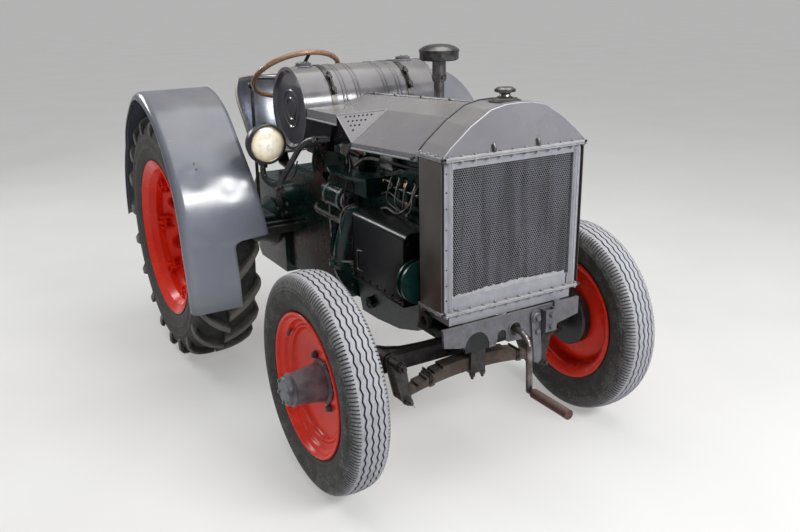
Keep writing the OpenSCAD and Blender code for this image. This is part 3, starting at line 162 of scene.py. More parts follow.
def enamel(name, fresh, faded, rough, patch_mm, grain_mm, grain_depth, dust="#9A9488", dust_share=0.5,
           splash=0, specular=0.5):
    # Sprayed enamel: faded in patches, with the orange peel or casting grain of what lies under it
    finish, place = new_finish(name)
    patches = add(finish, "TexNoise", {"Vector": place, "Scale": 1000 / patch_mm, "Detail": 5.0,
                                       "Roughness": 0.6})
    shade = add(finish, "ValToRGB", {"Fac": patches}, [(0.35, fresh), (0.68, faded)])
    if splash:
        # Road dust dried on the lower part, thinning out upwards
        height = add(finish, "SeparateXYZ", {"Vector": place}).outputs["Z"]
        height = add(finish, "MapRange", {"Value": height, "From Min": 0.5, "From Max": 1.1,
                                          "To Min": splash, "To Max": 0.0})
        shade = add(finish, "MixRGB", {"Fac": height, "Color1": shade, "Color2": linear("#8F929C")})
    grain = add(finish, "TexNoise", {"Vector": place, "Scale": 1000 / grain_mm, "Detail": 3.0})
    return close(finish, {
        "Base Color": dusty(finish, shade, place, dust, dust_share),
        "Specular IOR Level": specular,
        "Roughness": add(finish, "MapRange", {"Value": patches, "To Min": rough - 0.1,
                                              "To Max": rough + 0.2})}, grain, depth=grain_depth)


def dress(finish, *nodes):
    # The finish on nodes whose own shape is right
    for node in nodes:
        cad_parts[node].data.materials.clear()
        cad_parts[node].data.materials.append(finish)


green_enamel = enamel("green_enamel_on_rough_casting", "#041714", "#0D352F", 0.22, 110, 5, 0.0009,
                      "#4E524B", 0.08, specular=0.36)
grimy_green = enamel("grimy_green_enamel_on_casting", "#08120F", "#0E1914", 0.4, 50, 5, 0.0009,
                     "#31322C", 0.3)
dress(green_enamel, "engine_block", "gearbox", "rear_axle", "fan", "elbow_housing")
dress(grimy_green, "front_support")


# The engine's right side carries its fittings: a green side cover, the dynamo's bare aluminium end, the
# injectors with their steel pipes, and oil and fuel pipes with brass nuts.
# Sizes are in millimetres, and places are measured from the ground under the front axle.
def at(x, y, z):
    # A place in millimetres from the ground under the middle of the front axle
    return Vector((0.7525 + x / 1000, y / 1000, z / 1000))


def turns(count, first=0):
    # Equal turns round a circle, from the first one in degrees
    return [math.radians(first) + 2 * math.pi * k / count for k in range(count)]


def together(shapes):
    # Several sets of points and faces as one
    points, faces = [], []
    for p, f in shapes:
        faces += [tuple(i + len(points) for i in face) for face in f]
        points += list(p)
    return points, faces


def piece(name, shapes, finish, body="chassis", crease=38, thick=0, wear=()):
    # One made piece of one or more shapes, with edges sharper than the crease angle left crisp
    points, faces = together(shapes)
    mesh = bpy.data.meshes.new(name)
    mesh.from_pydata([tuple(p) for p in points], [], faces)
    mesh.validate()
    work = bmesh.new()
    work.from_mesh(mesh)
    bmesh.ops.recalc_face_normals(work, faces=work.faces)
    for face in work.faces:
        face.smooth = True
    for edge in work.edges:
        if len(edge.link_faces) == 2 and edge.calc_face_angle() > math.radians(crease):
            edge.smooth = False
    work.to_mesh(mesh)
    work.free()
    mesh.materials.append(finish)
    if wear:
        mesh.attributes.new("wear", "FLOAT", "POINT").data.foreach_set("value", wear)
    made = bpy.data.objects.new(name, mesh)
    bpy.context.scene.collection.objects.link(made)
    if thick:
        sheet = made.modifiers.new("sheet", "SOLIDIFY")
        sheet.thickness, sheet.offset = thick / 1000, 0
    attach(made, body)
    return made


def skin(rows, across, loop=False, ring=True):
    # The faces between neighbouring rows of points. A loop joins the last row to the first.
    return [(k * across + j, k * across + (j + 1) % across, (k + 1) % rows * across + (j + 1) % across,
             (k + 1) % rows * across + j)
            for k in range(rows if loop else rows - 1) for j in range(across if ring else across - 1)]


def capped(rows, across):
    # The faces of a closed form, whose first and last rows are its ends
    last = (rows - 1) * across
    return skin(rows, across) + [tuple(range(across))[::-1], tuple(range(last, last + across))]


def turned(centre, axis, profile, steps=48, closed=False):
    # A turned piece: [radius, distance along the axis] from the centre
    axis = Vector(axis).normalized()
    side = axis.orthogonal().normalized()
    up = axis.cross(side)
    points = [Vector(centre) + (axis * a + (side * math.cos(t) + up * math.sin(t)) * r) / 1000
              for t in turns(steps) for r, a in profile]
    return points, skin(steps, len(profile), loop=True, ring=closed)


def smooth_line(stops, steps=6):
    # A smooth line through the stops
    stops = [Vector(s) for s in stops]
    line = []
    for k in range(len(stops) - 1):
        a, b, c, d = stops[max(k - 1, 0)], stops[k], stops[k + 1], stops[min(k + 2, len(stops) - 1)]
        for t in [i / steps for i in range(steps)]:
            line.append((2 * b + (c - a) * t + (2 * a - 5 * b + 4 * c - d) * t * t
                         + (3 * b - a - 3 * c + d) * t ** 3) / 2)
    return line + [stops[-1]]


def pipe(line, radius, sides=12):
    # A round pipe, rod or wire along a line, capped at both ends
    line = [Vector(p) for p in line]
    ahead = [(line[min(k + 1, len(line) - 1)] - line[max(k - 1, 0)]).normalized() for k in range(len(line))]
    side = ahead[0].orthogonal().normalized()
    points = []
    for spot, way in zip(line, ahead):
        side = (side - way * side.dot(way)).normalized()
        up = way.cross(side)
        points += [spot + (side * math.cos(t) + up * math.sin(t)) * radius / 1000 for t in turns(sides)]
    return points, capped(len(line), sides)


def bent(stops, radius, sides=8):
    # A pipe or wire bent smoothly through places given by their three sizes
    return pipe(smooth_line([at(*stop) for stop in stops]), radius, sides)


def rod(first, last, radius, sides=10):
    # A straight rod between two places given by their three sizes
    return pipe([at(*first), at(*last)], radius, sides)


# A hexagon's width over the distance from its middle to a corner
flats_over_corner = 1.732


def hex_head(seat, way, across, height, washer=0):
    # A hexagon head with its chamfered top, on a washer
    way = Vector(way).normalized()
    side = way.orthogonal().normalized()
    up = way.cross(side)
    shapes = [turned(seat, way, [(0, 0), (washer, 0), (washer, 1.8), (0, 1.8)], 20)] if washer else []
    corner = across / flats_over_corner
    points = [Vector(seat) + (way * h + (side * math.cos(t) + up * math.sin(t)) * corner * s) / 1000
              for s, h in ((1, 0), (1, height * 0.8), (0.86, height), (0, height)) for t in turns(6)]
    return together(shapes + [(points, skin(4, 6))])


def box(corner, far_corner, round_by=0):
    # A rectangular block between two corners, with its edges rounded off
    work = bmesh.new()
    bmesh.ops.create_cube(work, size=1)
    ends = [sorted(pair) for pair in zip(corner, far_corner)]
    for spot in work.verts:
        spot.co = Vector([(a + b) / 2 + c * (b - a) for (a, b), c in zip(ends, spot.co)])
    if round_by:
        bmesh.ops.bevel(work, geom=list(work.edges), offset=round_by / 1000, segments=2, affect="EDGES",
                        profile=0.5)
    work.verts.index_update()
    shape = [v.co.copy() for v in work.verts], [tuple(v.index for v in f.verts) for f in work.faces]
    work.free()
    return shape


def metal(name, bright, dull, rough, patch_mm, grain_mm, metallic=1.0):
    # Bare metal, brighter where it has been handled and duller where it has stood
    finish, place = new_finish(name)
    patches = add(finish, "TexNoise", {"Vector": place, "Scale": 1000 / patch_mm, "Detail": 5.0})
    shade = add(finish, "ValToRGB", {"Fac": patches}, [(0.35, bright), (0.65, dull)])
    grain = add(finish, "TexNoise", {"Vector": place, "Scale": 1000 / grain_mm, "Detail": 3.0})
    return close(finish, {
        "Base Color": dusty(finish, shade, place, "#8C8880", 0.3),
        "Metallic": metallic,
        "Roughness": add(finish, "MapRange", {"Value": patches, "To Min": rough - 0.1,
                                              "To Max": rough + 0.2})}, grain, 0.4, 0.0003)


cast_aluminium = metal("weathered_cast_aluminium", "#B4B5B6", "#7E7F81", 0.42, 30, 2)
drawn_steel = metal("drawn_steel_tube", "#8F8B86", "#4C4845", 0.4, 25, 2, 0.9)
oily_black = enamel("oil_soaked_black_rubber_and_paint", "#0F0F0F", "#1B1A18", 0.4, 30, 3, 0.0004,
                    "#4A4842", 0.25)
brass = metal("tarnished_brass", "#A98445", "#6E5630", 0.35, 12, 1.5)

# Side cover and what is bolted to it
outline = [(-850, 1000), (-850, 1092), (-800, 1106), (-610, 1118), (-560, 1112), (-556, 1052), (-640, 1030)]
shapes = [([at(x, y, z) for y in (-204, -196) for x, z in outline], capped(2, len(outline)))]
shapes += [hex_head(at(x, -204, z), (0, -1, 0), 14, 7, 9) for x, z in (
    (-763, 1090), (-831, 1043), (-768, 1049), (-835, 1012), (-600, 1100), (-590, 1060))]
shapes += [bent([(-862, -206, 992), (-858, -212, 1040), (-848, -208, 1096)], 6, 12),
           box(at(-463, -238, 988), at(-370, -196, 1046), 4),
           hex_head(at(-416, -238, 1022), (0, -1, 0), 18, 9, 12)]
shapes += [turned(at(x, -236, 1058), (0, 0, -1), [(0, -12), (8, -12), (8, 20)], 12)
           for x in (-500, -440, -380)]
piece("engine_side_cover", shapes, green_enamel)

# Dynamo: its end plate with raised rings, the pulley nut and the steel bands round the body
dynamo_y, dynamo_z = -222, 940
shapes = [turned(at(-483, dynamo_y, dynamo_z), (1, 0, 0), [
    (41, -14), (43, 0), (41, 3), (32, 3), (31, 6), (26, 6), (25, 2), (16, 2), (15, 10), (0, 10)], 40)]
shapes += [turned(at(x, dynamo_y, dynamo_z), (1, 0, 0), [(50.5, -6), (52.5, -5), (52.5, 5), (50.5, 6)], 40)
           for x in (-512, -640)]
shapes += [hex_head(at(-480, dynamo_y + 34 * math.sin(a), dynamo_z + 34 * math.cos(a)), (1, 0, 0), 8, 5)
           for a in turns(6)]
piece("dynamo_end", shapes, cast_aluminium)

# Fuel pump and injector pipes: each pipe loops from the pump up to its injector
shapes = []
for k in range(4):
    injector_x, pump_x = -195 + 58 * k, -130 + 22 * k
    shapes += [
        hex_head(at(injector_x, -148, 1046), (0, 0, 1), 19, 14),
        turned(at(injector_x, -148, 1060), (0, 0, 1), [(6, 0), (6, 20), (3, 24), (0, 24)], 12),
        bent([(injector_x, -148, 1080), (injector_x + 3, -158, 1094), (injector_x + 8, -186, 1090),
              (injector_x + 10, -204, 1050), (injector_x + 4, -206, 1000), (pump_x, -196, 972)], 3.2),
        hex_head(at(pump_x, -196, 962), (0, 0, 1), 14, 12),
        box(at(injector_x - 1, -172, 1046), at(injector_x + 17, -150, 1053), 2)]
shapes += [bent([(-246, -180, 1067), (-222, -184, 1069), (-200, -180, 1064), (-208, -180, 1044),
                 (-232, -180, 1038)], 4),
           bent([(-262, -190, 1012), (-190, -196, 1030), (-120, -190, 1010), (-81, -180, 1010)], 4),
           bent([(-232, -212, 960), (-180, -214, 974), (-110, -210, 966), (-60, -196, 1000),
                 (-40, -170, 1060), (-60, -140, 1084)], 5)]
piece("injector_pipes", shapes, drawn_steel)
piece("brass_pipe_nuts", [
    hex_head(at(-112, -160, 1066), (0, -1, 0.4), 20, 16), hex_head(at(-250, -182, 1062), (-1, 0, 0), 14, 12),
    hex_head(at(-470, -250, 905), (0, -0.4, 1), 20, 14), hex_head(at(-84, -184, 1004), (1, 0, 0), 14, 12)],
    brass)

# Oil, water and fuel pipes round the block, and the rubber covered wires
piece("engine_pipes", [
    bent([(-868, -196, 836), (-780, -238, 842), (-660, -240, 842), (-557, -232, 837), (-500, -196, 830)],
         12, 12),
    bent([(-640, -186, 700), (-640, -232, 740), (-644, -238, 800), (-650, -236, 880), (-640, -226, 920)],
         7, 10),
    bent([(-560, -175, 660), (-540, -226, 668), (-470, -236, 672)], 10, 10),
    bent([(-700, -180, 930), (-704, -206, 960), (-690, -214, 1000), (-640, -208, 1030)], 6),
    bent([(-860, -120, 952), (-868, -150, 1000), (-860, -186, 1060), (-830, -192, 1120), (-760, -180, 1150)],
         7),
    bent([(-470, -200, 1088), (-430, -170, 1120), (-330, -160, 1130), (-240, -150, 1120)], 8)],
    drawn_steel)
piece("engine_wires", [
    bent([(-484, -236, 950), (-452, -262, 985), (-440, -250, 1040), (-470, -220, 1086), (-560, -180, 1126)],
         4.5),
    bent([(-700, -222, 962), (-760, -220, 1004), (-820, -214, 1070), (-832, -210, 1140), (-800, -230, 1170)],
         4.5),
    bent([(-590, -160, 1070), (-580, -170, 1110), (-540, -168, 1128), (-490, -160, 1118)], 11, 10),
    bent([(-330, -140, 1112), (-300, -176, 1140), (-200, -188, 1146), (-60, -176, 1148), (60, -120, 1150)],
         6)],
    oily_black)
shapes = [box(at(-592, -178, 1066), at(-482, -146, 1116), 6),
          box(at(-350, -150, 1096), at(-250, -120, 1160), 8)]
shapes += [turned(at(x, -84, 1168), (0, 0, 1), [(20, 0), (20, 14), (12, 20), (0, 20)], 16)
           for x in (-392, -276, -160, -44)]
piece("cylinder_head_fittings", shapes, cast_aluminium)

# Filter bowl's pale cap and its wire bail, the gearbox cover's bolts and the sump's bolts
filter_x, filter_y, flange_x = -398, -246, -434
piece("filter_cap", [
    turned(at(filter_x, filter_y, 922), (0, 0, 1), [(30, 0), (30, 6), (18, 16), (8, 18), (0, 18)], 28),
    turned(at(filter_x, filter_y, 700), (0, 0, 1), [(60.5, 6), (64, 7), (64, 12), (60.5, 13)], 40),
    turned(at(-470, -250, 838), (0, -1, 0), [(19, -30), (19, 4), (12, 8), (0, 8)], 20)],
    cast_aluminium)
bail = ((-308, 800), (-314, 880), (-296, 930), (-246, 948), (-196, 930))
shapes = [bent([(filter_x, y, z) for y, z in bail], 3.5)]
shapes += [hex_head(at(filter_x + 66 * math.cos(a), filter_y + 66 * math.sin(a), 695), (0, 0, 1), 11, 7)
           for a in turns(9, 200)[:4]]
shapes += [hex_head(at(-1205 + 70 * math.cos(a), -235, 790 + 70 * math.sin(a)), (0, -1, 0), 13, 8, 9)
           for a in turns(8)]
shapes += [hex_head(at(x, -180, 590), (0, 0, -1), 13, 8, 9) for x in range(-560, 20, 72)]
shapes += [hex_head(at(-590, 240 * math.cos(a), 690 + 240 * math.sin(a)), (1, 0, 0), 16, 10, 11)
           for a in turns(12, 12) if abs(math.cos(a)) > 0.5]
shapes += [hex_head(at(-441 + 17 * math.cos(a), -174, 486 + 17 * math.sin(a)), (0, -1, 0), 9, 5)
           for a in turns(4)]
piece("casting_bolts", shapes, drawn_steel)

# Filter housing: a flanged iron elbow that narrows as it leans towards the engine: [height, middle, radius]
elbow = [(684, -434, 98), (700, -434, 98), (702, -434, 90), (716, -433, 88), (722, -432, 79),
         (760, -428, 77), (810, -418, 71), (850, -407, 64), (885, -395, 56), (912, -386, 48),
         (930, -380, 38), (936, -377, 20)]
points = [at(x + r * math.cos(t), filter_y + r * math.sin(t), z) for z, x, r in elbow for t in turns(40)]
housing = piece("elbow_housing_cast", [(points, capped(len(elbow), 40))], green_enamel)
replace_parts(housing, "elbow_housing")

# The valve gear's cover lies along the top of the block, and five bolts hold the elbow's flange
shapes = [hex_head(at(flange_x + 90 * math.cos(a), filter_y + 90 * math.sin(a), 700), (0, 0, 1), 14, 9)
          for a in turns(9, 200)[:5]]
shapes += [box(at(-560, -112, 1060), at(66, 112, 1168), 20), box(at(-566, -122, 1056), at(72, 122, 1072), 4)]
piece("valve_cover", shapes, green_enamel)


# Front tyres: black rubber, moulded with five ribs between zigzag grooves, and fine cuts on the shoulders.
# The ribs are worn pale and dusty, the grooves stay dark, and the side walls carry thin moulded rings.
def mm(x, y, z):
    # A step in millimetres
    return Vector((x, y, z)) / 1000


def rubber(name, groove, wall, crown, grain_mm, shaded_wall_y):
    # Moulded rubber: dark where it isn't worn, dusty and mossy where the road has been
    finish, place = new_finish(name)
    wear = add(finish, "Attribute", attribute_name="wear").outputs["Fac"]
    smears = add(finish, "TexNoise", {"Vector": place, "Scale": 1000 / 45, "Detail": 6.0, "Roughness": 0.65})
    specks = add(finish, "TexNoise", {"Vector": place, "Scale": 1000 / 7, "Detail": 3.0})
    mottled = add(finish, "Math", {0: smears, 1: specks}, operation="ADD")
    stain = add(finish, "MapRange", {"Value": mottled, "From Min": 0.6, "From Max": 1.4, "To Min": -0.2,
                                     "To Max": 0.2})
    moss = add(finish, "MapRange", {"Value": smears, "From Min": 0.45, "From Max": 0.7, "To Max": 0.4})
    shade = add(finish, "ValToRGB", {"Fac": add(finish, "Math", {0: wear, 1: stain}, operation="ADD")},
                [(0.0, groove), (0.3, groove), (0.5, wall), (0.95, crown)])
    # The wall towards the machine is painted darker, as painted shade on the wall that stands in shade
    across = add(finish, "SeparateXYZ", {"Vector": place}).outputs["Y"]
    outward = add(finish, "Math", {0: across}, operation="ABSOLUTE")
    inner = add(finish, "MapRange", {"Value": outward, "From Min": shaded_wall_y - 0.01,
                                     "From Max": shaded_wall_y + 0.01, "To Min": 0.6, "To Max": 0.0})
    shade = add(finish, "MixRGB", {"Fac": inner, "Color1": shade, "Color2": linear("#100F0F")})
    shade = add(finish, "MixRGB", {"Fac": moss, "Color1": shade, "Color2": linear("#4B4E45")})
    pores = add(finish, "TexNoise", {"Vector": place, "Scale": 1000 / grain_mm, "Detail": 3.0})
    return close(finish, {
        "Base Color": dusty(finish, shade, place, "#A5A29C", 0.35),
        "Roughness": add(finish, "MapRange", {"Value": smears, "To Min": 0.6, "To Max": 0.9})},
        pores, 0.4, 0.0005)


front_rubber = rubber("moulded_rubber_ribbed", "#1C1A19", "#292725", "#8B8B92", 3, 0.52)
crown_r = 416
crown_drop = 9
tread_half = 57
groove_depth = 8
zigzags = 60
zigzag_swing = 3.2
steps_round = 12 * zigzags
# Half of the tread, from the middle out: [across, depth, swing, wear]
tread = [(0, 0, 1, 1)]
for groove in (11.4, 34.2):
    tread += [(groove - 3.2, 0, 1, 1), (groove - 2.1, groove_depth, 1, 0),
              (groove + 2.1, groove_depth, 1, 0), (groove + 3.2, 0, 1, 1)]
    tread += [(22.8, 0, 1, 1)] if groove < 20 else [(44, 0, 0.6, 1), (49.5, 0, 0.1, 0.95)]
# With the wall: [across, radius, swing, cut on the shoulder, wear]
half_tyre = [(y, crown_r - crown_drop * (y / tread_half) ** 2 - depth, swing, 0, worn)
             for y, depth, swing, worn in tread]
half_tyre += [(y, r, 0, cut, worn) for y, r, cut, worn in (
    (50.5, 409.2, 4, 0.9), (56, 407.2, 5, 0.85), (60.5, 403, 5, 0.8), (65, 396.5, 5, 0.72),
    (69, 388, 4, 0.68), (71.8, 380, 3, 0.62), (72.2, 378.8, 0, 0.58), (74.3, 372, 0, 0.52),
    (75.2, 370.8, 0, 0.6), (75.7, 369, 0, 0.5), (77.5, 360, 0, 0.5), (78.4, 358.5, 0, 0.56),
    (78.7, 356.5, 0, 0.48), (79, 347, 0, 0.5), (78.6, 333, 0, 0.5), (76, 320, 0, 0.48), (71, 305, 0, 0.45),
    (65.5, 291.5, 0, 0.42), (65.5, 289.5, 0, 0.5), (63.5, 287.5, 0, 0.42), (58, 277, 0, 0.4),
    (54, 270, 0, 0.3), (44, 250, 0, 0.3))]
whole_tyre = [(-y, r, s, c, w) for y, r, s, c, w in half_tyre[:0:-1]] + half_tyre
for side in ("right", "left"):
    low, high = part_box("front_tyre_" + side)
    middle = (low + high) / 2
    points, worn = [], []
    for k, turn in enumerate(turns(steps_round)):
        swing = zigzag_swing * (abs((k % 12) / 6 - 1) * 2 - 1)
        for y, r, s, cut, w in whole_tyre:
            cut = cut if k % 4 == 1 else 0
            points.append(middle + mm((r - cut) * math.sin(turn), y + s * swing, (r - cut) * math.cos(turn)))
            worn.append(0.15 if cut else w)
    tyre = piece(f"front_tyre_{side}_treaded", [(points, skin(steps_round, len(whole_tyre), loop=True))],
                 front_rubber, "front_" + side, wear=worn)
    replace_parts(tyre, "front_tyre_" + side)


# Front wheels: pressed steel discs, riveted into rolled rims and sprayed with glossy orange red enamel.
# The hub is a long dark iron barrel, with a drum inside, six wheel nuts and a bolted grease cap.
red_enamel = enamel("red_enamel_on_pressed_steel", "#D62411", "#E0341C", 0.2, 120, 2.5, 0.0002,
                    "#A07468", 0.06, specular=0.25)
# The hub is grey with dust outside the wheel, and the drum behind it is painted near black as painted shade
drum_iron, place = new_finish("dusty_paint_on_cast_iron_with_painted_shade")
film = add(drum_iron, "TexNoise", {"Vector": place, "Scale": 1000 / 40, "Detail": 5.0})
across = add(drum_iron, "SeparateXYZ", {"Vector": place}).outputs["Y"]
outside = add(drum_iron, "Math", {0: across}, operation="ABSOLUTE")
outside = add(drum_iron, "MapRange", {"Value": outside, "From Min": 0.585, "From Max": 0.625})
painted_shade_behind = add(drum_iron, "ValToRGB", {"Fac": film}, [(0.35, "#19181A"), (0.65, "#29272A")])
dusted = add(drum_iron, "ValToRGB", {"Fac": film}, [(0.35, "#3E4148"), (0.65, "#686A71")])
shade = add(drum_iron, "MixRGB", {"Fac": outside, "Color1": painted_shade_behind, "Color2": dusted})
close(drum_iron, {
    "Base Color": dusty(drum_iron, shade, place, "#8A8680", 0.2),
    "Roughness": add(drum_iron, "MapRange", {"Value": film, "To Min": 0.26, "To Max": 0.5})},
    add(drum_iron, "TexNoise", {"Vector": place, "Scale": 1000 / 4, "Detail": 3.0}))
dress(red_enamel, "front_wheel_right", "front_wheel_left", "rear_wheel_right", "rear_wheel_left")
dress(drum_iron, "front_hub_right", "front_hub_left")
# From the tyre's bead: the rolled lip, the seat, the well with its riveted ring, the dish, and back
# behind it: [radius, how far out]
wheel_line = [
    (249.7, 44), (269, 53.7), (273.5, 58), (274.5, 62.5), (272.2, 66.5), (268, 68), (263.6, 66.5),
    (260.8, 62.5), (259, 56), (252, 48), (244.5, 44.5), (241.5, 42.5), (240, 33), (235, 26.5), (228, 24),
    (221.5, 24.5), (219.5, 27.5), (216, 29), (212, 28), (209.8, 24), (208, 15), (201, 8), (185, 2.5),
    (160, -3.5), (124, -7.8), (58.2, -7.8), (58.2, -14), (126, -14), (162, -10), (187, -4), (204, 2),
    (212, 8), (216, 13), (223, 10), (224, -24), (233.7, -46), (264, -64), (272, -61), (269, -54.3),
    (249.7, -44)]
hub_line = [
    (30, -62), (118, -62), (126, -54), (126, -22), (118, -14.3), (57.5, -14.3), (57.5, -7.5), (84, -7.5),
    (85, -2), (80, 1), (74.5, 5), (71.5, 20), (68, 50), (63, 90), (58.5, 117.5), (61.2, 119.5), (61.2, 126),
    (57.5, 128), (54.5, 131), (54, 145), (50, 149.5), (0, 150)]
cap_bolts_r, wheel_nuts_r, disc_y, valve_turn = 47, 101, -7.8, -0.9
for side, out in (("right", -1), ("left", 1)):
    low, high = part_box("front_tyre_" + side)
    middle, way = (low + high) / 2, (0, out, 0)

    def on_wheel(turn, r, y):
        # A place on the wheel: its turn from the top, its radius, and how far it stands out
        return middle + mm(r * math.sin(turn), out * y, r * math.cos(turn))

    wheel = piece(f"front_wheel_{side}_pressed", [turned(middle, way, wheel_line, 96, closed=True)],
                  red_enamel, "front_" + side, crease=60)
    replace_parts(wheel, "front_wheel_" + side)
    hub = piece(f"front_hub_{side}_turned", [turned(middle, way, hub_line, 64)], drum_iron,
                "front_" + side)
    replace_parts(hub, "front_hub_" + side)
    shapes = [hex_head(on_wheel(a, cap_bolts_r, 149), way, 11, 6) for a in turns(6, 8)]
    for a in turns(6, 30):
        shapes += [hex_head(on_wheel(a, wheel_nuts_r, disc_y), way, 25, 12, 17),
                   turned(on_wheel(a, wheel_nuts_r, disc_y + 12), way,
                          [(10.5, 0), (9.5, 5), (6, 9), (0, 10)], 16)]
    # The wire in the cap's groove, and the tyre's valve
    shapes += [pipe([on_wheel(math.pi / 24 * k, 62.5, 122.8) for k in range(49)], 1.8, 6),
               pipe([on_wheel(valve_turn, 238, 30), on_wheel(valve_turn, 214, 56)], 5.5)]
    piece(f"front_hub_fittings_{side}", shapes, drum_iron, "front_" + side)


# Rear tyres: black rubber with curved lugs, two rows that meet in a chevron, moulded with the carcass.
# The lugs are chamfered blocks, worn dull and dusty, and the walls carry two thin moulded rings.
rear_rubber = rubber("moulded_rubber_lugged", "#141312", "#2C2927", "#67635E", 4, 0.40)
lug_height = 34
lug_count = 20
carcass_r = 613 - lug_height
half_width = 152.5
# The carcass from the bead to the crown: [radius, across, wear]
wall_line = [
    (362, 113, 0.3), (386, 129, 0.35), (399, 137.5, 0.4), (410, 140.5, 0.45), (430, 146.2, 0.45),
    (448, 148.5, 0.45), (452, 150, 0.6), (456, 148.7, 0.45), (474, 148.8, 0.45), (494, 148.5, 0.45),
    (498, 150, 0.6), (502, 148, 0.45), (520, 146.3, 0.45), (537, 142.5, 0.42), (556, 134, 0.35),
    (569, 121, 0.3), (574.5, 85, 0.25), (577.8, 42, 0.25)]
carcass = [(r, -y) for r, y, w in wall_line] + [(carcass_r, 0)] + [(r, y) for r, y, w in wall_line[::-1]]
carcass_worn = [w for r, y, w in wall_line] + [0.25] + [w for r, y, w in wall_line[::-1]]
# Across a lug: [distance from its middle, share of height or depth below the carcass, wear]
lug_ring = [(-28, -9, 0.2), (-21.5, 0.55, 0.5), (-18.5, 0.93, 0.85), (-16.5, 1, 1),
            (16.5, 1, 1), (18.5, 0.93, 0.85), (21.5, 0.55, 0.5), (28, -9, 0.2)]
# Along a lug: [share of the tyre's half width, turn in degrees, share of height]
lug_stations = smooth_line([(-0.04, 0, 1), (0.3, 4, 1), (0.62, 8.5, 0.97), (0.9, 13.5, 0.8)], 4)
# Down the wall: [drop, how far it stands out, turn in degrees, share of width]
lug_foot = ((16, 1.2, 14.6, 0.94), (44, 2.2, 15.2, 0.86), (68, 1.2, 15.5, 0.8), (78, -10, 15.6, 0.72))
for side, out in (("right", -1), ("left", 1)):
    low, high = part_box("rear_tyre_" + side)
    middle = (low + high) / 2
    shapes, worn = [turned(middle, (0, 1, 0), carcass, 144, closed=True)], carcass_worn * 144
    for row, first in ((1, 0), (-1, 180 / lug_count)):
        for base in turns(lug_count, first):
            points = []
            for share, turn, tall in lug_stations:
                floor_r = carcass_r - 16 * share ** 2
                for c, h, w in lug_ring:
                    r = floor_r + (h * lug_height * tall if h > 0 else h)
                    a = base + math.radians(turn) + c / r
                    points.append(middle + mm(r * math.cos(a), row * out * share * half_width,
                                              r * math.sin(a)))
                    worn.append(w)
            for drop, outset, turn, narrow in lug_foot:
                for c, h, w in lug_ring:
                    r = carcass_r + 10 - drop - (0 if h > 0 else 12)
                    a = base + math.radians(turn) + narrow * c / r
                    y = half_width + (outset if h > 0 else -14) - (4 if 0 < h < 1 else 0)
                    points.append(middle + mm(r * math.cos(a), row * out * y, r * math.sin(a)))
                    worn.append(w * 0.9)
            shapes.append((points, capped(len(points) // 8, 8)))
    tyre = piece(f"rear_tyre_{side}_lugged", shapes, rear_rubber, "rear_" + side, wear=worn)
    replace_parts(tyre, "rear_tyre_" + side)


# Front axle: a steel beam with forged knuckles, rods and shackles, under an arched leaf spring.
# All of it is bare or thinly painted steel, dark with oil and road dirt, with brown rust on the leaves.
def worn_steel(name, clean, dirty, rust, rust_share, rough, grain_mm, metallic=0.55):
    # Bare steel under a film of oil and dust, with rust coming through in patches
    finish, place = new_finish(name)
    film = add(finish, "TexNoise", {"Vector": place, "Scale": 1000 / 50, "Detail": 6.0, "Roughness": 0.7})
    spots = add(finish, "TexNoise", {"Vector": place, "Scale": 1000 / 16, "Detail": 5.0, "Roughness": 0.7})
    rusted = add(finish, "MapRange", {"Value": spots, "From Min": 0.78 - 0.5 * rust_share,
                                      "From Max": 0.9 - 0.5 * rust_share})
    shade = add(finish, "ValToRGB", {"Fac": film}, [(0.35, dirty), (0.65, clean)])
    mixed = add(finish, "MixRGB", {"Fac": rusted, "Color1": shade, "Color2": linear(rust)})
    return close(finish, {
        "Base Color": dusty(finish, mixed, place, "#8F8A82", 0.4),
        "Metallic": add(finish, "MapRange", {"Value": rusted, "To Min": metallic, "To Max": 0.0}),
        "Roughness": add(finish, "MapRange", {"Value": rusted, "To Min": rough, "To Max": 0.85})},
        add(finish, "TexNoise", {"Vector": place, "Scale": 1000 / grain_mm, "Detail": 4.0}))


oily_steel = worn_steel("oily_forged_steel", "#4A4848", "#232120", "#4A3226", 0.2, 0.4, 4)
rusty_leaves = worn_steel("rusted_spring_steel", "#4A4039", "#2E2723", "#553626", 0.5, 0.55, 3, 0.3)
dress(oily_steel, "axle_beam", "knuckle_right", "knuckle_left", "track_rod", "drag_link", "drop_arm",
      "spring_mounts")
dress(rusty_leaves, "leaf_spring")


def grease_nipple(spot, way):
    # A grease nipple: its small hexagon and the waisted nose that the gun grips
    nose = [(2.6, 5), (2.6, 9), (1.9, 10), (3.4, 12), (3.4, 14), (1.8, 16.5), (0, 16.5)]
    return together([hex_head(spot, way, 9, 5), turned(spot, way, nose, 10)])


def split_pin(spot, across_pin):
    # A split pin through the end of a bolt: its loop on one side and two bent legs on the other
    along = Vector(across_pin).normalized() / 1000
    down = Vector((1, 0, 0) if abs(along.x) < 0.0005 else (0, 0, 1)) / 1000
    loop = [spot + along * (16 + 4 * math.cos(a)) + down * 4 * math.sin(a) for a in turns(8)]
    return together([pipe(loop, 1.2, 6)] + [
        pipe([spot + along * 13, spot - along * 14, spot - along * 18 + down * bend], 1.2, 6)
        for bend in (8, -8)])


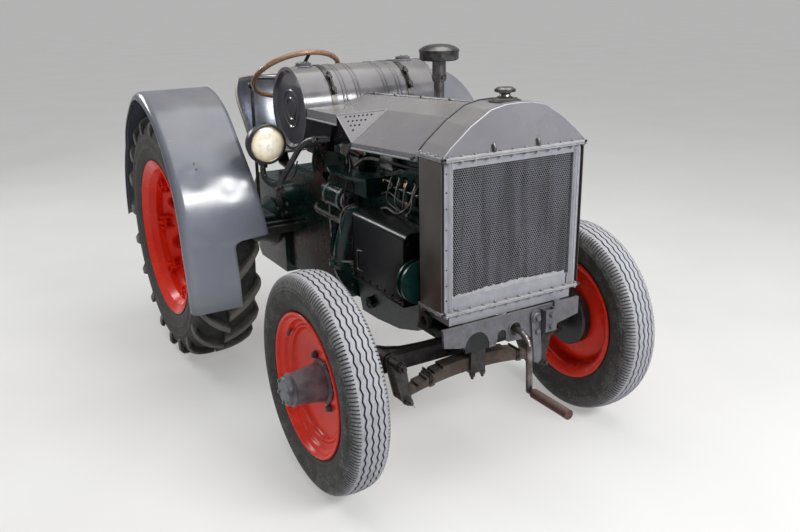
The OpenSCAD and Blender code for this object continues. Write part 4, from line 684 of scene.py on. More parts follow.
# Nuts, split pins and grease nipples on the pins that turn, and the nuts on the spring's clips and clamp
shapes = []
for side in (-1, 1):
    for y, z, wide in ((350, 456, 32), (322, 314, 26)):
        end = at(140, side * y, z)
        shapes += [hex_head(end, (1, 0, 0), wide, 14, wide * 0.62),
                   turned(end, (1, 0, 0), [(8, 10), (8, 24), (6, 26), (0, 26)], 16),
                   split_pin(end + mm(20, 0, 0), (0, side * 0.5, 0.8)),
                   grease_nipple(at(53, side * y, z), (-1, 0, 0))]
    for x in (57, 127):
        shapes += [hex_head(at(x, side * 24, 346), (0, 0, -1), 20, 14, 13),
                   rod((x, side * 24, 346), (x, side * 24, 322), 6)]
    shapes += [hex_head(at(130, side * 207, 362), (1, 0, 0), 14, 8, 10),
               rod((56, side * 207, 388), (128, side * 207, 388), 5),
               hex_head(at(128, side * 207, 388), (1, 0, 0), 14, 9)]
piece("axle_pin_fittings", shapes, oily_steel)
for side, out in (("right", -1), ("left", 1)):
    shapes = [turned(at(0, out * 470, 489), (0, 0, 1), [(17.5, 0), (17.5, 4), (12, 7), (0, 7)], 24),
              grease_nipple(at(0, out * 470, 495), (0, 0, 1)),
              hex_head(at(-130, out * 470, 479), (0, 0, 1), 26, 14, 18),
              turned(at(-130, out * 470, 493), (0, 0, 1), [(8, 0), (8, 8), (0, 9)], 14),
              split_pin(at(-130, out * 470, 498), (1, 0, 0)),
              grease_nipple(at(26, out * 500, 371), (1, 0, 0))]
    shapes += [hex_head(at(26, out * 506, z), (1, 0, 0), 16, 9, 11) for z in (392, 448)]
    if side == "left":
        # The drag link's pin
        shapes += [hex_head(at(0, 260, 532.5), (0, 0, 1), 24, 12, 17), split_pin(at(0, 260, 549), (1, 0, 0))]
    piece("knuckle_fittings_" + side, shapes, oily_steel, "stub_" + side)


# Front plate: thick steel plate, flame cut to two arches and bolted across the ends of the frame rails.
# A box bracket and a strap are welded to it, and a bar hangs from one bolt over the starting crank.
plate_steel = worn_steel("painted_plate_rusting_at_the_edges", "#5D5D63", "#46454A", "#6A4E3E", 0.22, 0.42,
                         3, 0.25)
dress(plate_steel, "front_plate")
dress(metal("steel_polished_by_hands", "#8A8684", "#4A4644", 0.3, 40, 2), "starting_crank")
dress(worn_steel("rusted_steel_tube", "#4A2721", "#2E1D19", "#5E3026", 0.5, 0.55, 3, 0.1), "crank_grip")
shapes = [turned(at(361, 92, 636), (1, 0, 0), [(20, -3), (20, 3), (16, 6), (0, 6)], 28),
          hex_head(at(366, 92, 636), (1, 0, 0), 19, 11), hex_head(at(361, 97, 582), (1, 0, 0), 17, 10, 11)]
shapes += [hex_head(at(386, 141, z), (1, 0, 0), 17, 10, 12) for z in (600, 645)]
piece("front_plate_bolts", shapes, plate_steel)
# Weld beads along the bracket, the strap and the boss that carries the crank
shapes = [pipe([at(353, y + random.uniform(-0.8, 0.8), z) for z in range(600, 668, 4)], 3.5, 6)
          for y in (115, 167, 174, 201)]
shapes += [pipe([at(353, 26 * math.cos(a), 612 + 26 * math.sin(a))
                 for a in [math.pi / 12 * k for k in range(25)]], 3.5, 6)]
piece("front_plate_welds", shapes, plate_steel)

# Radiator: a honeycomb core of thin copper, soldered between tanks in a frame of pressed steel sheet.
# The fins' front edges are painted pale as a painted highlight, and the cells deeper in are painted near
# black as painted shade, with dust in upright bands.
core_paint, place = new_finish("black_paint_on_copper_with_painted_edge_light")
wear = add(core_paint, "Attribute", attribute_name="wear").outputs["Fac"]
upright = add(core_paint, "Mapping", {"Vector": place, "Scale": (1, 1, 0.12)})
bands = add(core_paint, "TexNoise", {"Vector": upright, "Scale": 1000 / 34, "Detail": 3.0})
specks = add(core_paint, "TexNoise", {"Vector": place, "Scale": 1000 / 14, "Detail": 5.0, "Roughness": 0.75})
dulled = add(core_paint, "MapRange", {"Value": specks, "From Min": 0.62, "From Max": 0.78, "To Max": 0.5})
band = add(core_paint, "MapRange", {"Value": bands, "From Min": 0.35, "From Max": 0.65, "To Min": -0.22,
                                    "To Max": 0.1})
# The wear value here is painted light: 1 on the cells' front edges gives the painted highlight, 0.1 deeper
# in and 0.15 on the back give painted shade
shade = add(core_paint, "ValToRGB", {"Fac": add(core_paint, "Math", {0: wear, 1: band}, operation="ADD")},
            [(0.0, "#0B0B0D"), (0.45, "#0B0B0D"), (1.0, "#55555B")])
close(core_paint, {
    "Base Color": add(core_paint, "MixRGB", {"Fac": dulled, "Color1": shade, "Color2": linear("#8A8884")}),
    "Roughness": 0.45},
    add(core_paint, "TexNoise", {"Vector": place, "Scale": 1000 / 2, "Detail": 2.0}), 0.3, 0.0004)
low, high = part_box("radiator_core")
cell = 0.0088
cell_wall = 0.0015
cell_depth = 0.007
rows_up = int((high.z - low.z) / (cell * 0.866))
cells_across = int((high.y - low.y) / cell)
outer = cell / flats_over_corner
inner = outer - cell_wall
shapes, worn = [], []
for row in range(rows_up):
    z = low.z + (row + 0.55) * (high.z - low.z) / rows_up
    for k in range(cells_across):
        y = low.y + (k + (0.5 if row % 2 else 1.0)) * (high.y - low.y) / (cells_across + 0.5)
        shapes.append((
            [(high.x - back, y + reach * math.cos(a), z + reach * math.sin(a))
             for reach, back in ((outer, 0), (inner, 0), (inner, cell_depth)) for a in turns(6, 30)],
            skin(3, 6)))
        # Painted highlight on the cell's front rims, painted shade on its deep walls
        worn += [1.0] * 12 + [0.1] * 6
shapes.append(box(low, high - Vector((cell_depth, 0, 0))))
# Painted shade on the core's back
worn += [0.15] * 8
core = piece("radiator_core_honeycomb", shapes, core_paint, wear=worn)
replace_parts(core, "radiator_core")

# Radiator frame: its flanges are drawn together by small hexagon bolts every two inches.
# Under the core lies a sheet whose upper edge was cut by hand and is ragged.
grey_enamel = enamel("grey_enamel_on_sheet", "#646368", "#6E6D72", 0.2, 260, 2, 0.00014, "#A09684", 0.4)
frame_enamel = enamel("grey_enamel_on_dusty_steel", "#717278", "#7F7F85", 0.4, 60, 3, 0.0004, "#A09B92", 0.4)
pale_enamel = enamel("pale_worn_enamel_on_flange", "#7B7B80", "#8C8B8F", 0.45, 30, 3, 0.0004, "#A8A398", 0.4)
bolt_enamel = enamel("chipped_enamel_on_bolt_heads", "#626165", "#848387", 0.4, 12, 2, 0.0003,
                     "#A8A296", 0.4)
dress(frame_enamel, "radiator_frame")
dress(grey_enamel, "top_tank")
shapes = []
for front, bottom, top in (
        (346.5, 714.6, 719), (348.5, 720.4, 724.9), (346.5, 1246.2, 1250.6), (348.5, 1252, 1261)):
    shapes.append(box(at(333, -303, bottom), at(front, 303, top), 1.2))
    shapes += [box(at(182, side * 303, bottom), at(front, side * 290, top), 1.2) for side in (-1, 1)]
piece("radiator_flanges", shapes, pale_enamel)
shapes = []
for x, shift, under, over in ((340, 0, 714.6, 724.9), (341, 8, 1246.2, 1261)):
    row = [(x, -286 + 52 * k + shift) for k in range(12)]
    row += [(x, y) for x in (200, 248, 296) for y in (-297, 297)]
    shapes += [hex_head(at(x, y, over), (0, 0, 1), 9.5, 5.5, 6.2) for x, y in row]
    shapes += [hex_head(at(x, y, under), (0, 0, -1), 9.5, 7) for x, y in row]
piece("radiator_bolts", shapes, bolt_enamel)
shapes = []
for side in (-1, 1):
    shapes += [turned(at(332, side * 281, z), (1, 0, 0), [(3.3, 0), (3.3, 0.6), (1.5, 1.4), (0, 1.4)], 10)
               for z in (1208, 1146, 1091, 1020, 950, 880, 823, 770)]
    shapes += [turned(at(194, side * 289, z), (0, side, 0), [(3, 0), (2.6, 1), (0, 1.5)], 10)
               for z in range(1003, 1125, 19)]
    shapes += [turned(at(x, side * 289, z), (0, side, 0), [(4, 0), (3.6, 1), (0, 1.8)], 10)
               for x, z in ((213, 1043), (212, 1008), (194, 1032))]
piece("radiator_rivets", shapes, oily_black)
torn = [(y, 776 + 12 * math.sin((y + 290) / 190) + 3.5 * random.uniform(-1, 1)) for y in range(-257, 246, 6)]
outline = [(-257, 762), (245, 762)] + torn[::-1]
sheet = [at(x, y, z) for x in (326, 328) for y, z in outline]
piece("sheet_under_core", [(sheet, capped(2, len(outline)))], pale_enamel)
# Dark lines at the frame's lower corners, where the sheet under the core lies back, are painted shadow
piece("lower_frame_painted_shadow_lines", [
    pipe([at(332.5, y, z) for y, z in ((-256, 770), (-256, 742), (-252, 732), (-242, 727))], 1.2, 6),
    rod((332.5, 250, 768), (332.5, 247, 730), 2.2, 6)], oily_black)

# Dark sheet over the frame's sides is painted shade, and the tank's front edge is folded over.
side_painted_shade = enamel("dark_brown_painted_shade_on_radiator_sides", "#36332F", "#45413C", 0.35, 80, 2, 0.0003,
                     "#7A746A", 0.3)
# Painted highlights: a pale line along the tank's folded front edge and pale rods up the columns' inner
# edges
painted_highlight_on_edges = enamel("painted_highlight_on_folded_edges", "#828186", "#98979C", 0.3, 25, 2, 0.0002,
                   "#B6B1A8", 0.3)
piece("radiator_sides_painted_shade", [
    box(at(198, side * 300, 728), at(334, side * 302.6, 1244), 1) for side in (-1, 1)],
    side_painted_shade)
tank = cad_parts["top_tank"]
low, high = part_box("top_tank")
rim = {}
for spot in [tank.matrix_world @ v.co for v in tank.data.vertices]:
    if spot.x > high.x - 0.001:
        rim[round(spot.y, 3)] = max(spot.z, rim.get(round(spot.y, 3), 0))
seam = [Vector((low.x + 0.0005, y, rim[y] + 0.0004)) for y in sorted(rim)]
fold = [Vector((high.x - 0.001, y, rim[y])) for y in sorted(rim)]
piece("tank_and_hood_seam", [pipe(seam, 2.4, 6)], oily_black)
column_edge_highlights = [rod((346, y, 730), (346, y, 1244), 2.2, 8) for y in (-267, 267)]
piece("tank_edge_and_column_painted_highlights", [pipe(fold, 2.2, 8)] + column_edge_highlights, painted_highlight_on_edges)

# Radiator cap with a knurled edge, on a round plate held by six bolts.
# Two pins stand on the tank's front.
steel_cap = metal("worn_plated_steel", "#7A7876", "#4A4846", 0.34, 30, 2, 0.9)
dress(steel_cap, "radiator_cap")
low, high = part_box("radiator_cap")
cap = Vector(((low.x + high.x) / 2, 0, low.z))
shapes = [turned(cap, (0, 0, 1), [(56, 0), (56, 3), (50, 5), (40, 6)], 40)]
shapes += [hex_head(cap + mm(48 * math.cos(a), 48 * math.sin(a), 4), (0, 0, 1), 8, 4) for a in turns(6, 30)]
shapes += [pipe([cap + mm(34 * math.cos(a), 34 * math.sin(a), z) for z in (31, 39)], 2, 6)
           for a in turns(24)]
shapes += [bent([(345, y, 1289), (349, y + 3, 1275), (346, y + 6, 1264)], 5.5, 10) for y in (-104, 82)]
piece("radiator_cap_plate", shapes, steel_cap)


# Hood: folded steel sheet over the engine, hinged along the ridge and riveted at its front edge.
# The corners are stepped out round the fuel drum, with a perforated vent in each step.
dress(grey_enamel, "hood")
rivet = [(3.5, 0), (3, 1.4), (0, 2.2)]
front = [at(178, y, z) for y, z in (
    (-297, 1251), (-149, 1359), (-40, 1391), (40, 1391), (149, 1359), (297, 1251))]
shapes = []
for a, b in zip(front, front[1:]):
    way = Vector((0, a.z - b.z, b.y - a.y)).normalized()
    shapes += [turned(a.lerp(b, i / 5 + 0.1) - mm(12, 0, 0), way, [(3.2, 0), (2.8, 1.2), (0, 2)], 8)
               for i in range(5)]
for side in (-1, 1):
    eave = [at(174, side * 298.5, 1240), at(-296, side * 298.5, 1209)]
    shapes += [turned(eave[0].lerp(eave[1], (k + 0.5) / 7), (0, side, 0), rivet, 8) for k in range(7)]
    shapes += [turned(at(x, side * 298.5, 1288), (0, side, 0), rivet, 8) for x in (-450, -520, -600, -670)]
piece("hood_rivets", shapes, bolt_enamel)
shapes = []
for side in (-1, 1):
    shapes += [rod((176, side * 299, 1228.5), (-298, side * 299, 1197.5), 4.2),
               rod((-420, side * 299, 1270.5), (-701, side * 299, 1264.5), 4.2),
               rod((-297, side * 298, 1219.5), (-419, side * 298, 1309), 2.8, 8),
               rod((-282, side * 150, 1333), (-419, side * 297, 1309.5), 2.8, 8),
               rod((-281, side * 150, 1332.5), (-299, side * 297, 1219.5), 2.8, 8)]
piece("hood_edges", shapes, frame_enamel)
shapes = []
for side in (-1, 1):
    shapes += [box(at(146, side * 300 - 4, 1222), at(166, side * 300 + 4, 1242), 3),
               rod((156, side * 303, 1232), (156, side * 309, 1232), 5)]
# The hinge's knuckles along the ridge
shapes += [rod((x, -8, z), (x, 8, z), 8.5)
           for x, z in ((140, 1392), (-60, 1381), (-260, 1370), (-460, 1358), (-640, 1348))]
piece("hood_catches", shapes, steel_cap)


# Fuel drum: a rolled steel barrel with beads in its shell, pressed ends and two flat screw caps.
# Two steel straps with turnbuckles draw it down on its saddles.
drum_enamel = enamel("gloss_grey_enamel_on_drum", "#47464C", "#55545A", 0.13, 130, 2, 0.00016,
                     "#A09A8E", 0.5)
strap_steel = worn_steel("oily_strap_steel", "#3A3837", "#232120", "#4A382C", 0.1, 0.3, 3, 0.6)
dress(drum_enamel, "fuel_tank")
dress(strap_steel, "tank_cradle")
drum_x, drum_z, strap_r = -885, 1282, 193
shapes = []
for y in (-222, 282):
    # Each cap has a cross of two ribs to turn it by
    for dx, dy in ((24, 0), (0, 24)):
        shapes.append(box(at(drum_x - dx - 3, y - dy - 3, 1475.5),
                          at(drum_x + dx + 3, y + dy + 3, 1478.5), 1))
    shapes.append(turned(at(drum_x, y, 1461), (0, 0, 1), [(41, -6), (41, 0), (36, 3)], 32))
piece("drum_caps", shapes, drum_enamel)
shapes = []
for y in (-160, 220):
    for degrees, turn_way in ((24.5, -1), (51.5, 1)):
        a = math.radians(degrees)
        spot = at(drum_x + strap_r * math.cos(a), y, drum_z + strap_r * math.sin(a))
        shapes.append(hex_head(spot, (-turn_way * math.sin(a), 0, turn_way * math.cos(a)), 15, 9, 9.5))
piece("strap_nuts", shapes, strap_steel)


# Side box: folded black sheet on the engine's right, with a latch, and beads and screws along its edges.
# The glossy black enamel is worn grey and dusty along the top.
black_sheet = enamel("black_enamel_on_folded_sheet", "#060607", "#0C0C0D", 0.16, 80, 2, 0.0003,
                     "#8C8F90", 0.06, specular=0.17)
dress(black_sheet, "side_box")
piece("box_latch", [
    pipe([at(*spot) for spot in ((-232, -322, 812), (-236, -323, 806), (-238, -323, 735), (-230, -323, 729),
                                 (-196, -322, 731))], 2.2, 6),
    rod((-236, -323, 808), (-196, -322, 814), 2.2, 6)], drawn_steel)
shapes = [hex_head(at(x, -320, 702), (0, -1, 0), 9, 5) for x in range(-262, 110, 58)]
shapes += [turned(at(122, y, z), (1, 0, 0), [(5, 0), (4, 2), (0, 3)], 10)
           for y, z in ((-302, 700), (-302, 820), (-302, 920), (-232, 700), (-232, 930))]
shapes += [rod((x, -321, 694), (x, -321, 936), 2, 6) for x in (-274, 116)]
piece("box_screws", shapes, black_sheet)

# Air intake: a steel stack with a clamped collar, under a turned cap that throws out the dust.
# The cap has a dark band with upright sides, and its domed lid is polished by hands and rain.
cap_steel = metal("dull_spun_steel", "#6E6C6C", "#3A3838", 0.28, 50, 2, 0.9)
stack = at(-440, 195, 0)
low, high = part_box("air_precleaner")
cap = piece("precleaner_turned", [turned(stack, (0, 0, 1), [
    (0, low.z * 1000), (22.2, low.z * 1000), (22.2, 1402), (28.5, 1405), (28.5, 1486), (33, 1489),
    (70, 1491.5), (79.5, 1493.5), (82, 1497), (82, 1527), (83.8, 1529), (83.8, 1532), (80, 1536),
    (66, 1545), (44, 1552), (20, 1554.5), (0, 1555)], 72)], cap_steel)
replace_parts(cap, "air_precleaner")
shapes = [turned(stack, (0, 0, 1), [(28.5, 1414), (31.2, 1415), (31.2, 1429), (28.5, 1430)], 40),
          hex_head(stack + mm(31, -4, 1422), (1, 0, 0), 12, 10),
          turned(stack, (0, 0, 1), [(82, 1523.5), (84.5, 1524.5), (84.5, 1527.5), (82, 1528.5)], 72)]
shapes += [pipe([stack + mm(r * math.cos(a), r * math.sin(a), z) for r, z in ((46, 1489.5), (74, 1491.5))],
                2.2, 6) for a in turns(24)]
piece("intake_bands", shapes, cap_steel)

# Exhaust: a cast manifold and a bent pipe on the left, brown with rust.
# Hexagon nuts hold the manifold's flanges to the block.
exhaust_rust = worn_steel("rusted_exhaust_steel", "#6A4A38", "#4A352B", "#7A4A30", 0.7, 0.7, 3, 0.1)
dress(exhaust_rust, "exhaust")
shapes = [hex_head(at(-92 - 128 * k + dx, 191, 934), (0, 1, 0), 14, 9) for k in range(4) for dx in (-34, 34)]
shapes += [turned(at(-440, 222, 916), (-0.5, 0.1, -1), [(30, 0), (36, 2), (36, 12), (30, 14)], 24)]
piece("exhaust_studs", shapes, exhaust_rust)


# Fenders: steel sheet 3 mm thick, rolled to follow the wheel and turned down along the outer edge.
# Sprayed with glossy blue grey enamel, which shows each dent that the years have left.
# The brown grey dust on what faces up is partly dust and partly a painted reflection of the ceiling
blue_grey_enamel = enamel("blue_grey_enamel_on_dented_sheet", "#4F535E", "#5A5E68", 0.17, 300, 1.6, 0.00012,
                          "#948E86", 0.5, 0.55)
fender_axis = at(-1500, 0, 600)
# Round the wheel from its front foot: [angle, radius, inner edge]
fender_foot = [(-13, 706, 610), (-2, 681, 610), (9, 664, 610), (10.6, 666, 604), (11.6, 668, 578)]
fender_rows = [(12.4, 669, 452), (30, 702, 478), (47, 736, 500), (63, 760, 500), (75, 762, 500),
               (84, 750, 500), (92, 715, 500), (102, 680, 500), (116, 660, 500), (148, 660, 500),
               (180, 660, 500)]
fender_path = [Vector(row) for row in fender_foot] + smooth_line(fender_rows, 8)
fender_edge = 838
edge_roll = 34
edge_sweep = 50
columns = 18
# Dents: [angle, across, depth, breadth]. The first three are on the right fender alone.
dents = [(15, 772, 6, 22), (14.4, 644, 5, 20), (13, 730, 3, 30), (37, 740, 6, 50), (31, 600, 5, 45),
         (33, 520, -5, 40), (60, 660, 3, 90)]
for side, out in (("right", -1), ("left", 1)):
    points = []
    for angle, path_r, inner in fender_path:
        turn = math.radians(angle)
        edge = fender_edge - edge_sweep * max(0, min(1, (angle - 90) / 50)) - edge_roll
        line = [(inner + (edge - inner) * j / (columns - 1), 0) for j in range(columns)]
        line += [(edge + edge_roll * math.sin(a), edge_roll * (1 - math.cos(a)))
                 for a in [math.radians(11.25 * j) for j in range(1, 9)]]
        for y, drop in line:
            r = path_r - drop - 1.5
            for dent_angle, dent_y, depth, breadth in dents if side == "right" else dents[3:]:
                gap = math.hypot(math.radians(angle - dent_angle) * path_r, y - dent_y)
                r -= depth * math.exp(-(gap / breadth) ** 2 * 2)
            points.append(fender_axis + mm(r * math.cos(turn), out * y, r * math.sin(turn)))
    fender = piece(f"fender_{side}_sheet", [(points, skin(len(fender_path), columns + 8, ring=False))],
                   blue_grey_enamel, thick=3)
    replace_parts(fender, "fender_" + side)


# Two small holes where a lamp's wire was once fixed, and the bolts that hold the sheet to its stays behind
def on_fender(out, angle, y, profile, sides):
    # A turned piece on the fender's outer face, standing square to the sheet
    before, after = [(a, b) for a, b in zip(fender_path, fender_path[1:]) if a[0] <= angle][-1]
    r = before[1] + (after[1] - before[1]) * (angle - before[0]) / (after[0] - before[0])
    turn = math.radians(angle)
    away = Vector((math.cos(turn), 0, math.sin(turn)))
    return turned(fender_axis + away * r / 1000 + mm(0, out * y, 0), away, profile, sides)


piece("fender_holes", [on_fender(-1, angle, y, [(3.5, -1), (3.5, 0.9), (0, 0.9)], 12)
                       for angle, y in ((41.3, 727), (39.2, 722))], oily_black)
piece("fender_bolts", [on_fender(out, angle, y, [(9, -1), (9, 1), (6, 4), (0, 5)], 16)
                       for out in (-1, 1) for angle in (120, 150) for y in (520, 620)],
      blue_grey_enamel)


# Footboards, stays and drawbar: rolled steel, painted once and worn to oily dark metal by boots and mud.
# The boards carry pressed treads, and the stays are bolted to the axle housing.
dress(oily_steel, "fender_stays", "platform", "hand_lever", "drawbar", "seat_spring", "steering_column")
shapes = []
for side in (-1, 1):
    for row in range(14):
        for k in range(5):
            x, y = -1173.5 - 9 * row, 314 + 29 * k + (14 if row % 2 else 0)
            if y < 438:
                tilt = 5 if (row + k) % 2 else -5
                shapes.append(rod((x - 5, side * y - tilt, 743.4), (x + 5, side * y + tilt, 743.4), 1.8, 6))
    shapes += [turned(at(x, side * 410, 743), (0, 0, 1), [(10, 0), (10, 2), (6, 5), (0, 5.5)], 16)
               for x in (-1175, -1255)]
piece("footboard_treads", shapes, oily_steel)
# The stays curve back from the axle housing and carry the fenders from below, behind the wheel's top
stay_line = [(-1500, 408, 708), (-1500, 408, 800), (-1540, 408, 900), (-1740, 408, 1120), (-1775, 430, 1172),
             (-1777, 500, 1178), (-1777, 590, 1178)]
stays = piece("fender_stays_bent", [
    bent([(x, side * y, z) for x, y, z in stay_line], 14, 14) for side in (-1, 1)],
    oily_steel)
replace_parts(stays, "fender_stays")


# Seat: a pressed steel pan with a high back, its edge rolled over a wire, bolted to a bent flat spring.
# The enamel has worn through to grey metal where it is sat on.
seat_steel = metal("polished_and_rusted_seat_steel", "#8E919B", "#6A6C74", 0.3, 90, 1.5, 0.8)
edge_enamel = enamel("grey_enamel_worn_on_rolled_edge", "#857F76", "#9A9389", 0.35, 30, 2, 0.0003)
hub = at(-1640, 0, 985)
pan_r = 215
pan_line = [(0, -22), (40, -21.5), (80, -19.5), (120, -16), (160, -11), (190, -5), (pan_r, 3)]
pan = turned(hub, (0, 0, 1), pan_line, 96)
# The back rises from 94 to 266 degrees round the pan, lower at its ends, and flares out to a soft edge
back_start, back_sweep, back_steps, back_rows, back_ends = 94, 172, 60, 12, 26
back_top, flare_z, edge_z = 352, 290, 3
back = []
for k in range(back_steps + 1):
    along = back_sweep * k / back_steps
    a = math.radians(back_start + along)
    share = max(0, min(1, along / back_ends, (back_sweep - along) / back_ends))
    top = back_top * (0.42 + 0.58 * math.sin(math.pi / 2 * share))
    for j in range(back_rows + 1):
        z = edge_z + (top - edge_z) * j / back_rows
        r = 212 + 47 * math.sin(math.pi / 2 * min(1, z / flare_z)) ** 2 - 12 * max(0, (z - flare_z) / 60)
        back.append(hub + mm(r * math.cos(a), r * math.sin(a), z))
seat = piece("seat_pan_pressed", [pan, (back, skin(back_steps + 1, back_rows + 1, ring=False))], seat_steel,
             thick=3.5)
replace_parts(seat, "seat")
edge = back[:back_rows + 1] + back[back_rows::back_rows + 1] + back[:-back_rows - 2:-1]
front_rim = [hub + mm(pan_r * math.cos(a), pan_r * math.sin(a), edge_z)
             for a in [math.radians(d) for d in range(-94, 95, 4)]]
shapes = [pipe(edge, 5.8, 10), pipe(front_rim, 5.8, 10)]
shapes += [hex_head(hub + mm(x, y, -21), (0, 0, 1), 14, 6, 11)
           for x, y in ((20, 18), (20, -18), (55, 0), (-20, 0))]
piece("seat_rolled_edge", shapes, edge_enamel)


# Headlamps: spun steel shells in black enamel, each with a plated rim and a domed lens.
# They stand on tubes that are clamped beside the fuel drum, with a wire to each.
shell_enamel = enamel("black_enamel_on_spun_steel", "#17171A", "#2A2A2D", 0.25, 60, 2, 0.0002,
                      "#6F6C68", 0.35)
plated_rim = metal("tarnished_plating_on_brass", "#C6BCA8", "#8E816A", 0.25, 20, 2)
bulb_glass = enamel("bulb_seen_through_glass", "#D9D2C2", "#E8E2D4", 0.2, 12, 2, 0.0001, "#C8B090", 0.0)
lamp_x, lamp_y, lamp_z = -798, 451, 1156
dress(shell_enamel, "headlamps", "lamp_brackets")
# The lens is opaque cream, a painted reflection of the lamp's bright bowl, and browner towards its rim, with
# the pattern of its flutes
lens_with_painted_reflection, place = new_finish("fluted_lens_with_painted_reflection")
spot = add(lens_with_painted_reflection, "SeparateXYZ", {"Vector": place}).outputs
off_y = add(lens_with_painted_reflection, "Math", {0: spot["Y"]}, operation="ABSOLUTE")
off_y = add(lens_with_painted_reflection, "Math", {0: off_y, 1: lamp_y / 1000}, operation="SUBTRACT")
off_z = add(lens_with_painted_reflection, "Math", {0: spot["Z"], 1: lamp_z / 1000}, operation="SUBTRACT")
off = add(lens_with_painted_reflection, "CombineXYZ", {"X": off_y, "Y": off_z})
off = add(lens_with_painted_reflection, "VectorMath", {0: off}, operation="LENGTH").outputs["Value"]
lens_r = 0.074
out_share = add(lens_with_painted_reflection, "MapRange", {"Value": off, "From Max": lens_r})
flute_mm = 9
flutes = add(lens_with_painted_reflection, "TexWave", {
    "Vector": place, "Scale": 1000 / flute_mm / 20 * 3.14, "Distortion": 0.4}, bands_direction="Y")
dirt = add(lens_with_painted_reflection, "TexNoise", {"Vector": place, "Scale": 1000 / 25, "Detail": 5.0})
painted_reflection_tint = add(lens_with_painted_reflection, "ValToRGB", {"Fac": out_share},
           [(0.0, "#FBF8F0"), (0.3, "#EDE6D8"), (0.75, "#E0D3BA"), (1.0, "#AF9E7E")])
stain = add(lens_with_painted_reflection, "MapRange", {"Value": dirt, "From Min": 0.5, "From Max": 0.75, "To Max": 0.5})
close(lens_with_painted_reflection, {
    "Base Color": add(lens_with_painted_reflection, "MixRGB", {"Fac": stain, "Color1": painted_reflection_tint, "Color2": linear("#A89C88")}),
    "Roughness": 0.12, "Coat Weight": 0.6, "Coat Roughness": 0.05}, flutes, 0.25, 0.0008)
dress(lens_with_painted_reflection, "lamp_lenses")
ahead, down = (1, 0, 0), (0, 0, -1)
rims, rings, knobs, bulbs, tubes = [], [], [], [], []
for side in (-1, 1):
    lamp = at(lamp_x, side * lamp_y, lamp_z)
    rims.append(turned(lamp, ahead, [(70, 4), (70.5, 14.5), (72.5, 16.5), (75, 15)], 64))
    rings.append(turned(lamp, ahead, [(74.5, 13.5), (76.5, 16), (81.5, 16), (86.2, 11), (88, 3), (87.8, -12),
                                      (85, -13.5)], 64))
    bulbs.append(turned(lamp, ahead, [(9, 20.5), (8, 22.5), (5, 23.5), (0, 23.8)], 24))
    wire = [lamp + mm(*step) for step in ((-118, 0, 0), (-150, 0, -40), (-120, side * -20, -120),
                                          (-60, side * -30, -170), (-30, side * -120, -170))]
    knobs += [turned(lamp + mm(-50, 0, -79), down, [(19, -4), (19, 6), (12.5, 12)], 24),
              hex_head(lamp + mm(-50, 0, -96), down, 30, 14),
              hex_head(at(-600, side * 312, 1190), (0, side, 0), 26, 12),
              turned(lamp + mm(-4, 0, 86), (0, 0, 1), [(7, -4), (7, 6), (4, 9), (0, 9)], 14),
              turned(lamp + mm(-110, 0, 0), (-1, 0, 0), [(16, -6), (16, 6), (9, 10), (0, 10)], 20),
              pipe(smooth_line(wire + [at(-830, side * 300, 1060)]), 3.5, 8)]
    # Each lamp stands on a bent tube that dips under it and rises to the shelf of the hood
    tubes += [bent([(x, side * y, z) for x, y, z in (
        (-854, 451, 1079), (-862, 451, 1030), (-850, 447, 995), (-795, 440, 981), (-745, 425, 993),
        (-723, 400, 1043), (-710, 370, 1095), (-704, 340, 1139), (-664, 315, 1175), (-600, 300, 1190),
        (-560, 268, 1194))], 12.5, 16),
        turned(at(-854, side * 451, 1079), down, [(20, -4), (20, 20), (14, 26)], 24)]
piece("headlamp_rims", rims, plated_rim)
piece("headlamp_outer_rings", rings, shell_enamel)
piece("headlamp_fittings", knobs, shell_enamel)
piece("headlamp_bulb_shades", bulbs, bulb_glass)
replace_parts(piece("lamp_tubes_bent", tubes, shell_enamel), "lamp_brackets")


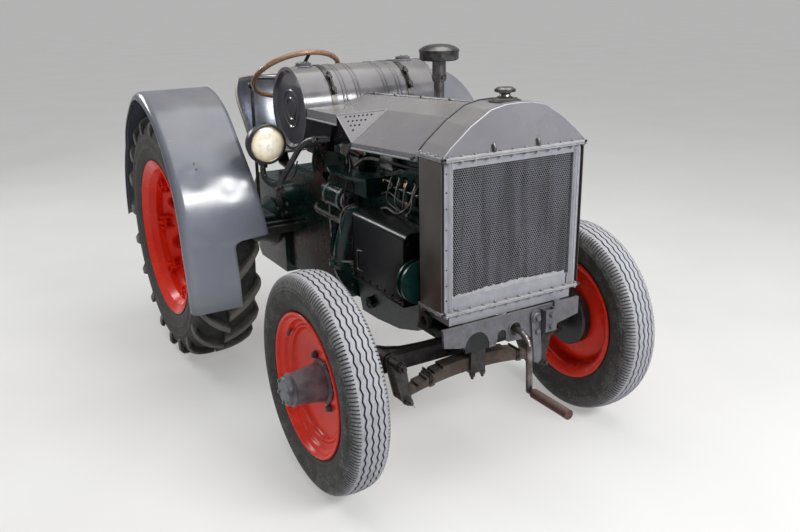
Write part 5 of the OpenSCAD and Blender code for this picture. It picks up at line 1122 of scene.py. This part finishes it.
# Steering wheel: a steamed and bent ash rim under old varnish, on a black spider of forged steel.
# The rim is joined by long scarf joints, held with brass plates and pins that show on its face.
rim_ash, place = new_finish("varnished_bent_ash")
stretched = add(rim_ash, "Mapping", {"Vector": place, "Scale": (1, 1, 5)})
grain = add(rim_ash, "TexNoise", {"Vector": stretched, "Scale": 1000 / 22, "Detail": 6.0, "Roughness": 0.7})
close(rim_ash, {
    "Base Color": add(rim_ash, "ValToRGB", {"Fac": grain}, [(0.3, "#54392A"), (0.65, "#94745A")]),
    "Roughness": 0.25}, grain, 0.3, 0.0005)
spider_enamel = enamel("black_enamel_on_forged_spider", "#151517", "#26262A", 0.3, 40, 2, 0.0003,
                       "#6F6C68", 0.3)
dress(rim_ash, "steering_rim")
dress(spider_enamel, "steering_spider")
wheel = at(-1210, -118, 1392)
lean = math.radians(33.3)
up_column = Vector((-math.sin(lean), 0, math.cos(lean)))
to_front = Vector((math.cos(lean), 0, math.sin(lean)))
to_left = Vector((0, 1, 0))
rim_r = 207
rim_half = 12.4


def on_rim(angle, r, lift):
    # A place on the wheel: angle from the front, distance from the hub, and height over its plane
    a = math.radians(angle)
    return wheel + ((to_front * math.cos(a) + to_left * math.sin(a)) * r + up_column * lift) / 1000


shapes = [pipe([on_rim(angle + 1.2 * (math.cos(t) > 0), rim_r + rim_half * math.cos(t),
                       rim_half * math.sin(t)) for t in [math.pi / 8 * k for k in range(17)]], 0.8, 5)
          for angle in (38, 112, 218, 292)]
piece("rim_joints", shapes, oily_black, "steering")
shapes = [pipe([on_rim(angle - 4 + k, rim_r - 9.5, 5.2) for k in range(9)], 4.2, 8)
          for angle in (0, 90, 180, 270)]
shapes += [turned(on_rim(angle, rim_r, 11.2), up_column, [(4.2, 0), (3.8, 1.2), (0, 1.8)], 14)
           for angle in (20, 56, 128, 200, 236, 308)]
piece("rim_brass", shapes, brass, "steering")
shapes = [hex_head(on_rim(0, 0, 8), up_column, 30, 14, 20),
          turned(on_rim(0, 0, 22), up_column, [(9, 0), (9, 6), (4, 8), (0, 8)], 18)]
shapes += [turned(on_rim(angle, 192, 4), up_column, [(7, 0), (6, 3), (0, 4)], 14)
           for angle in (0, 90, 180, 270)]
piece("spider_nut", shapes, spider_enamel, "steering")
grip_black = enamel("worn_black_grip", "#1B1A1A", "#2B2927", 0.3, 25, 2, 0.0003, "#6F6C68", 0.3)
ball = [(17.2 * math.cos(a), 17.2 * math.sin(a)) for a in [math.radians(d) for d in range(-80, 91, 10)]]
piece("lever_ball", [turned(at(-1390, -280, 1338), (0, 0, 1), ball, 28)], grip_black)
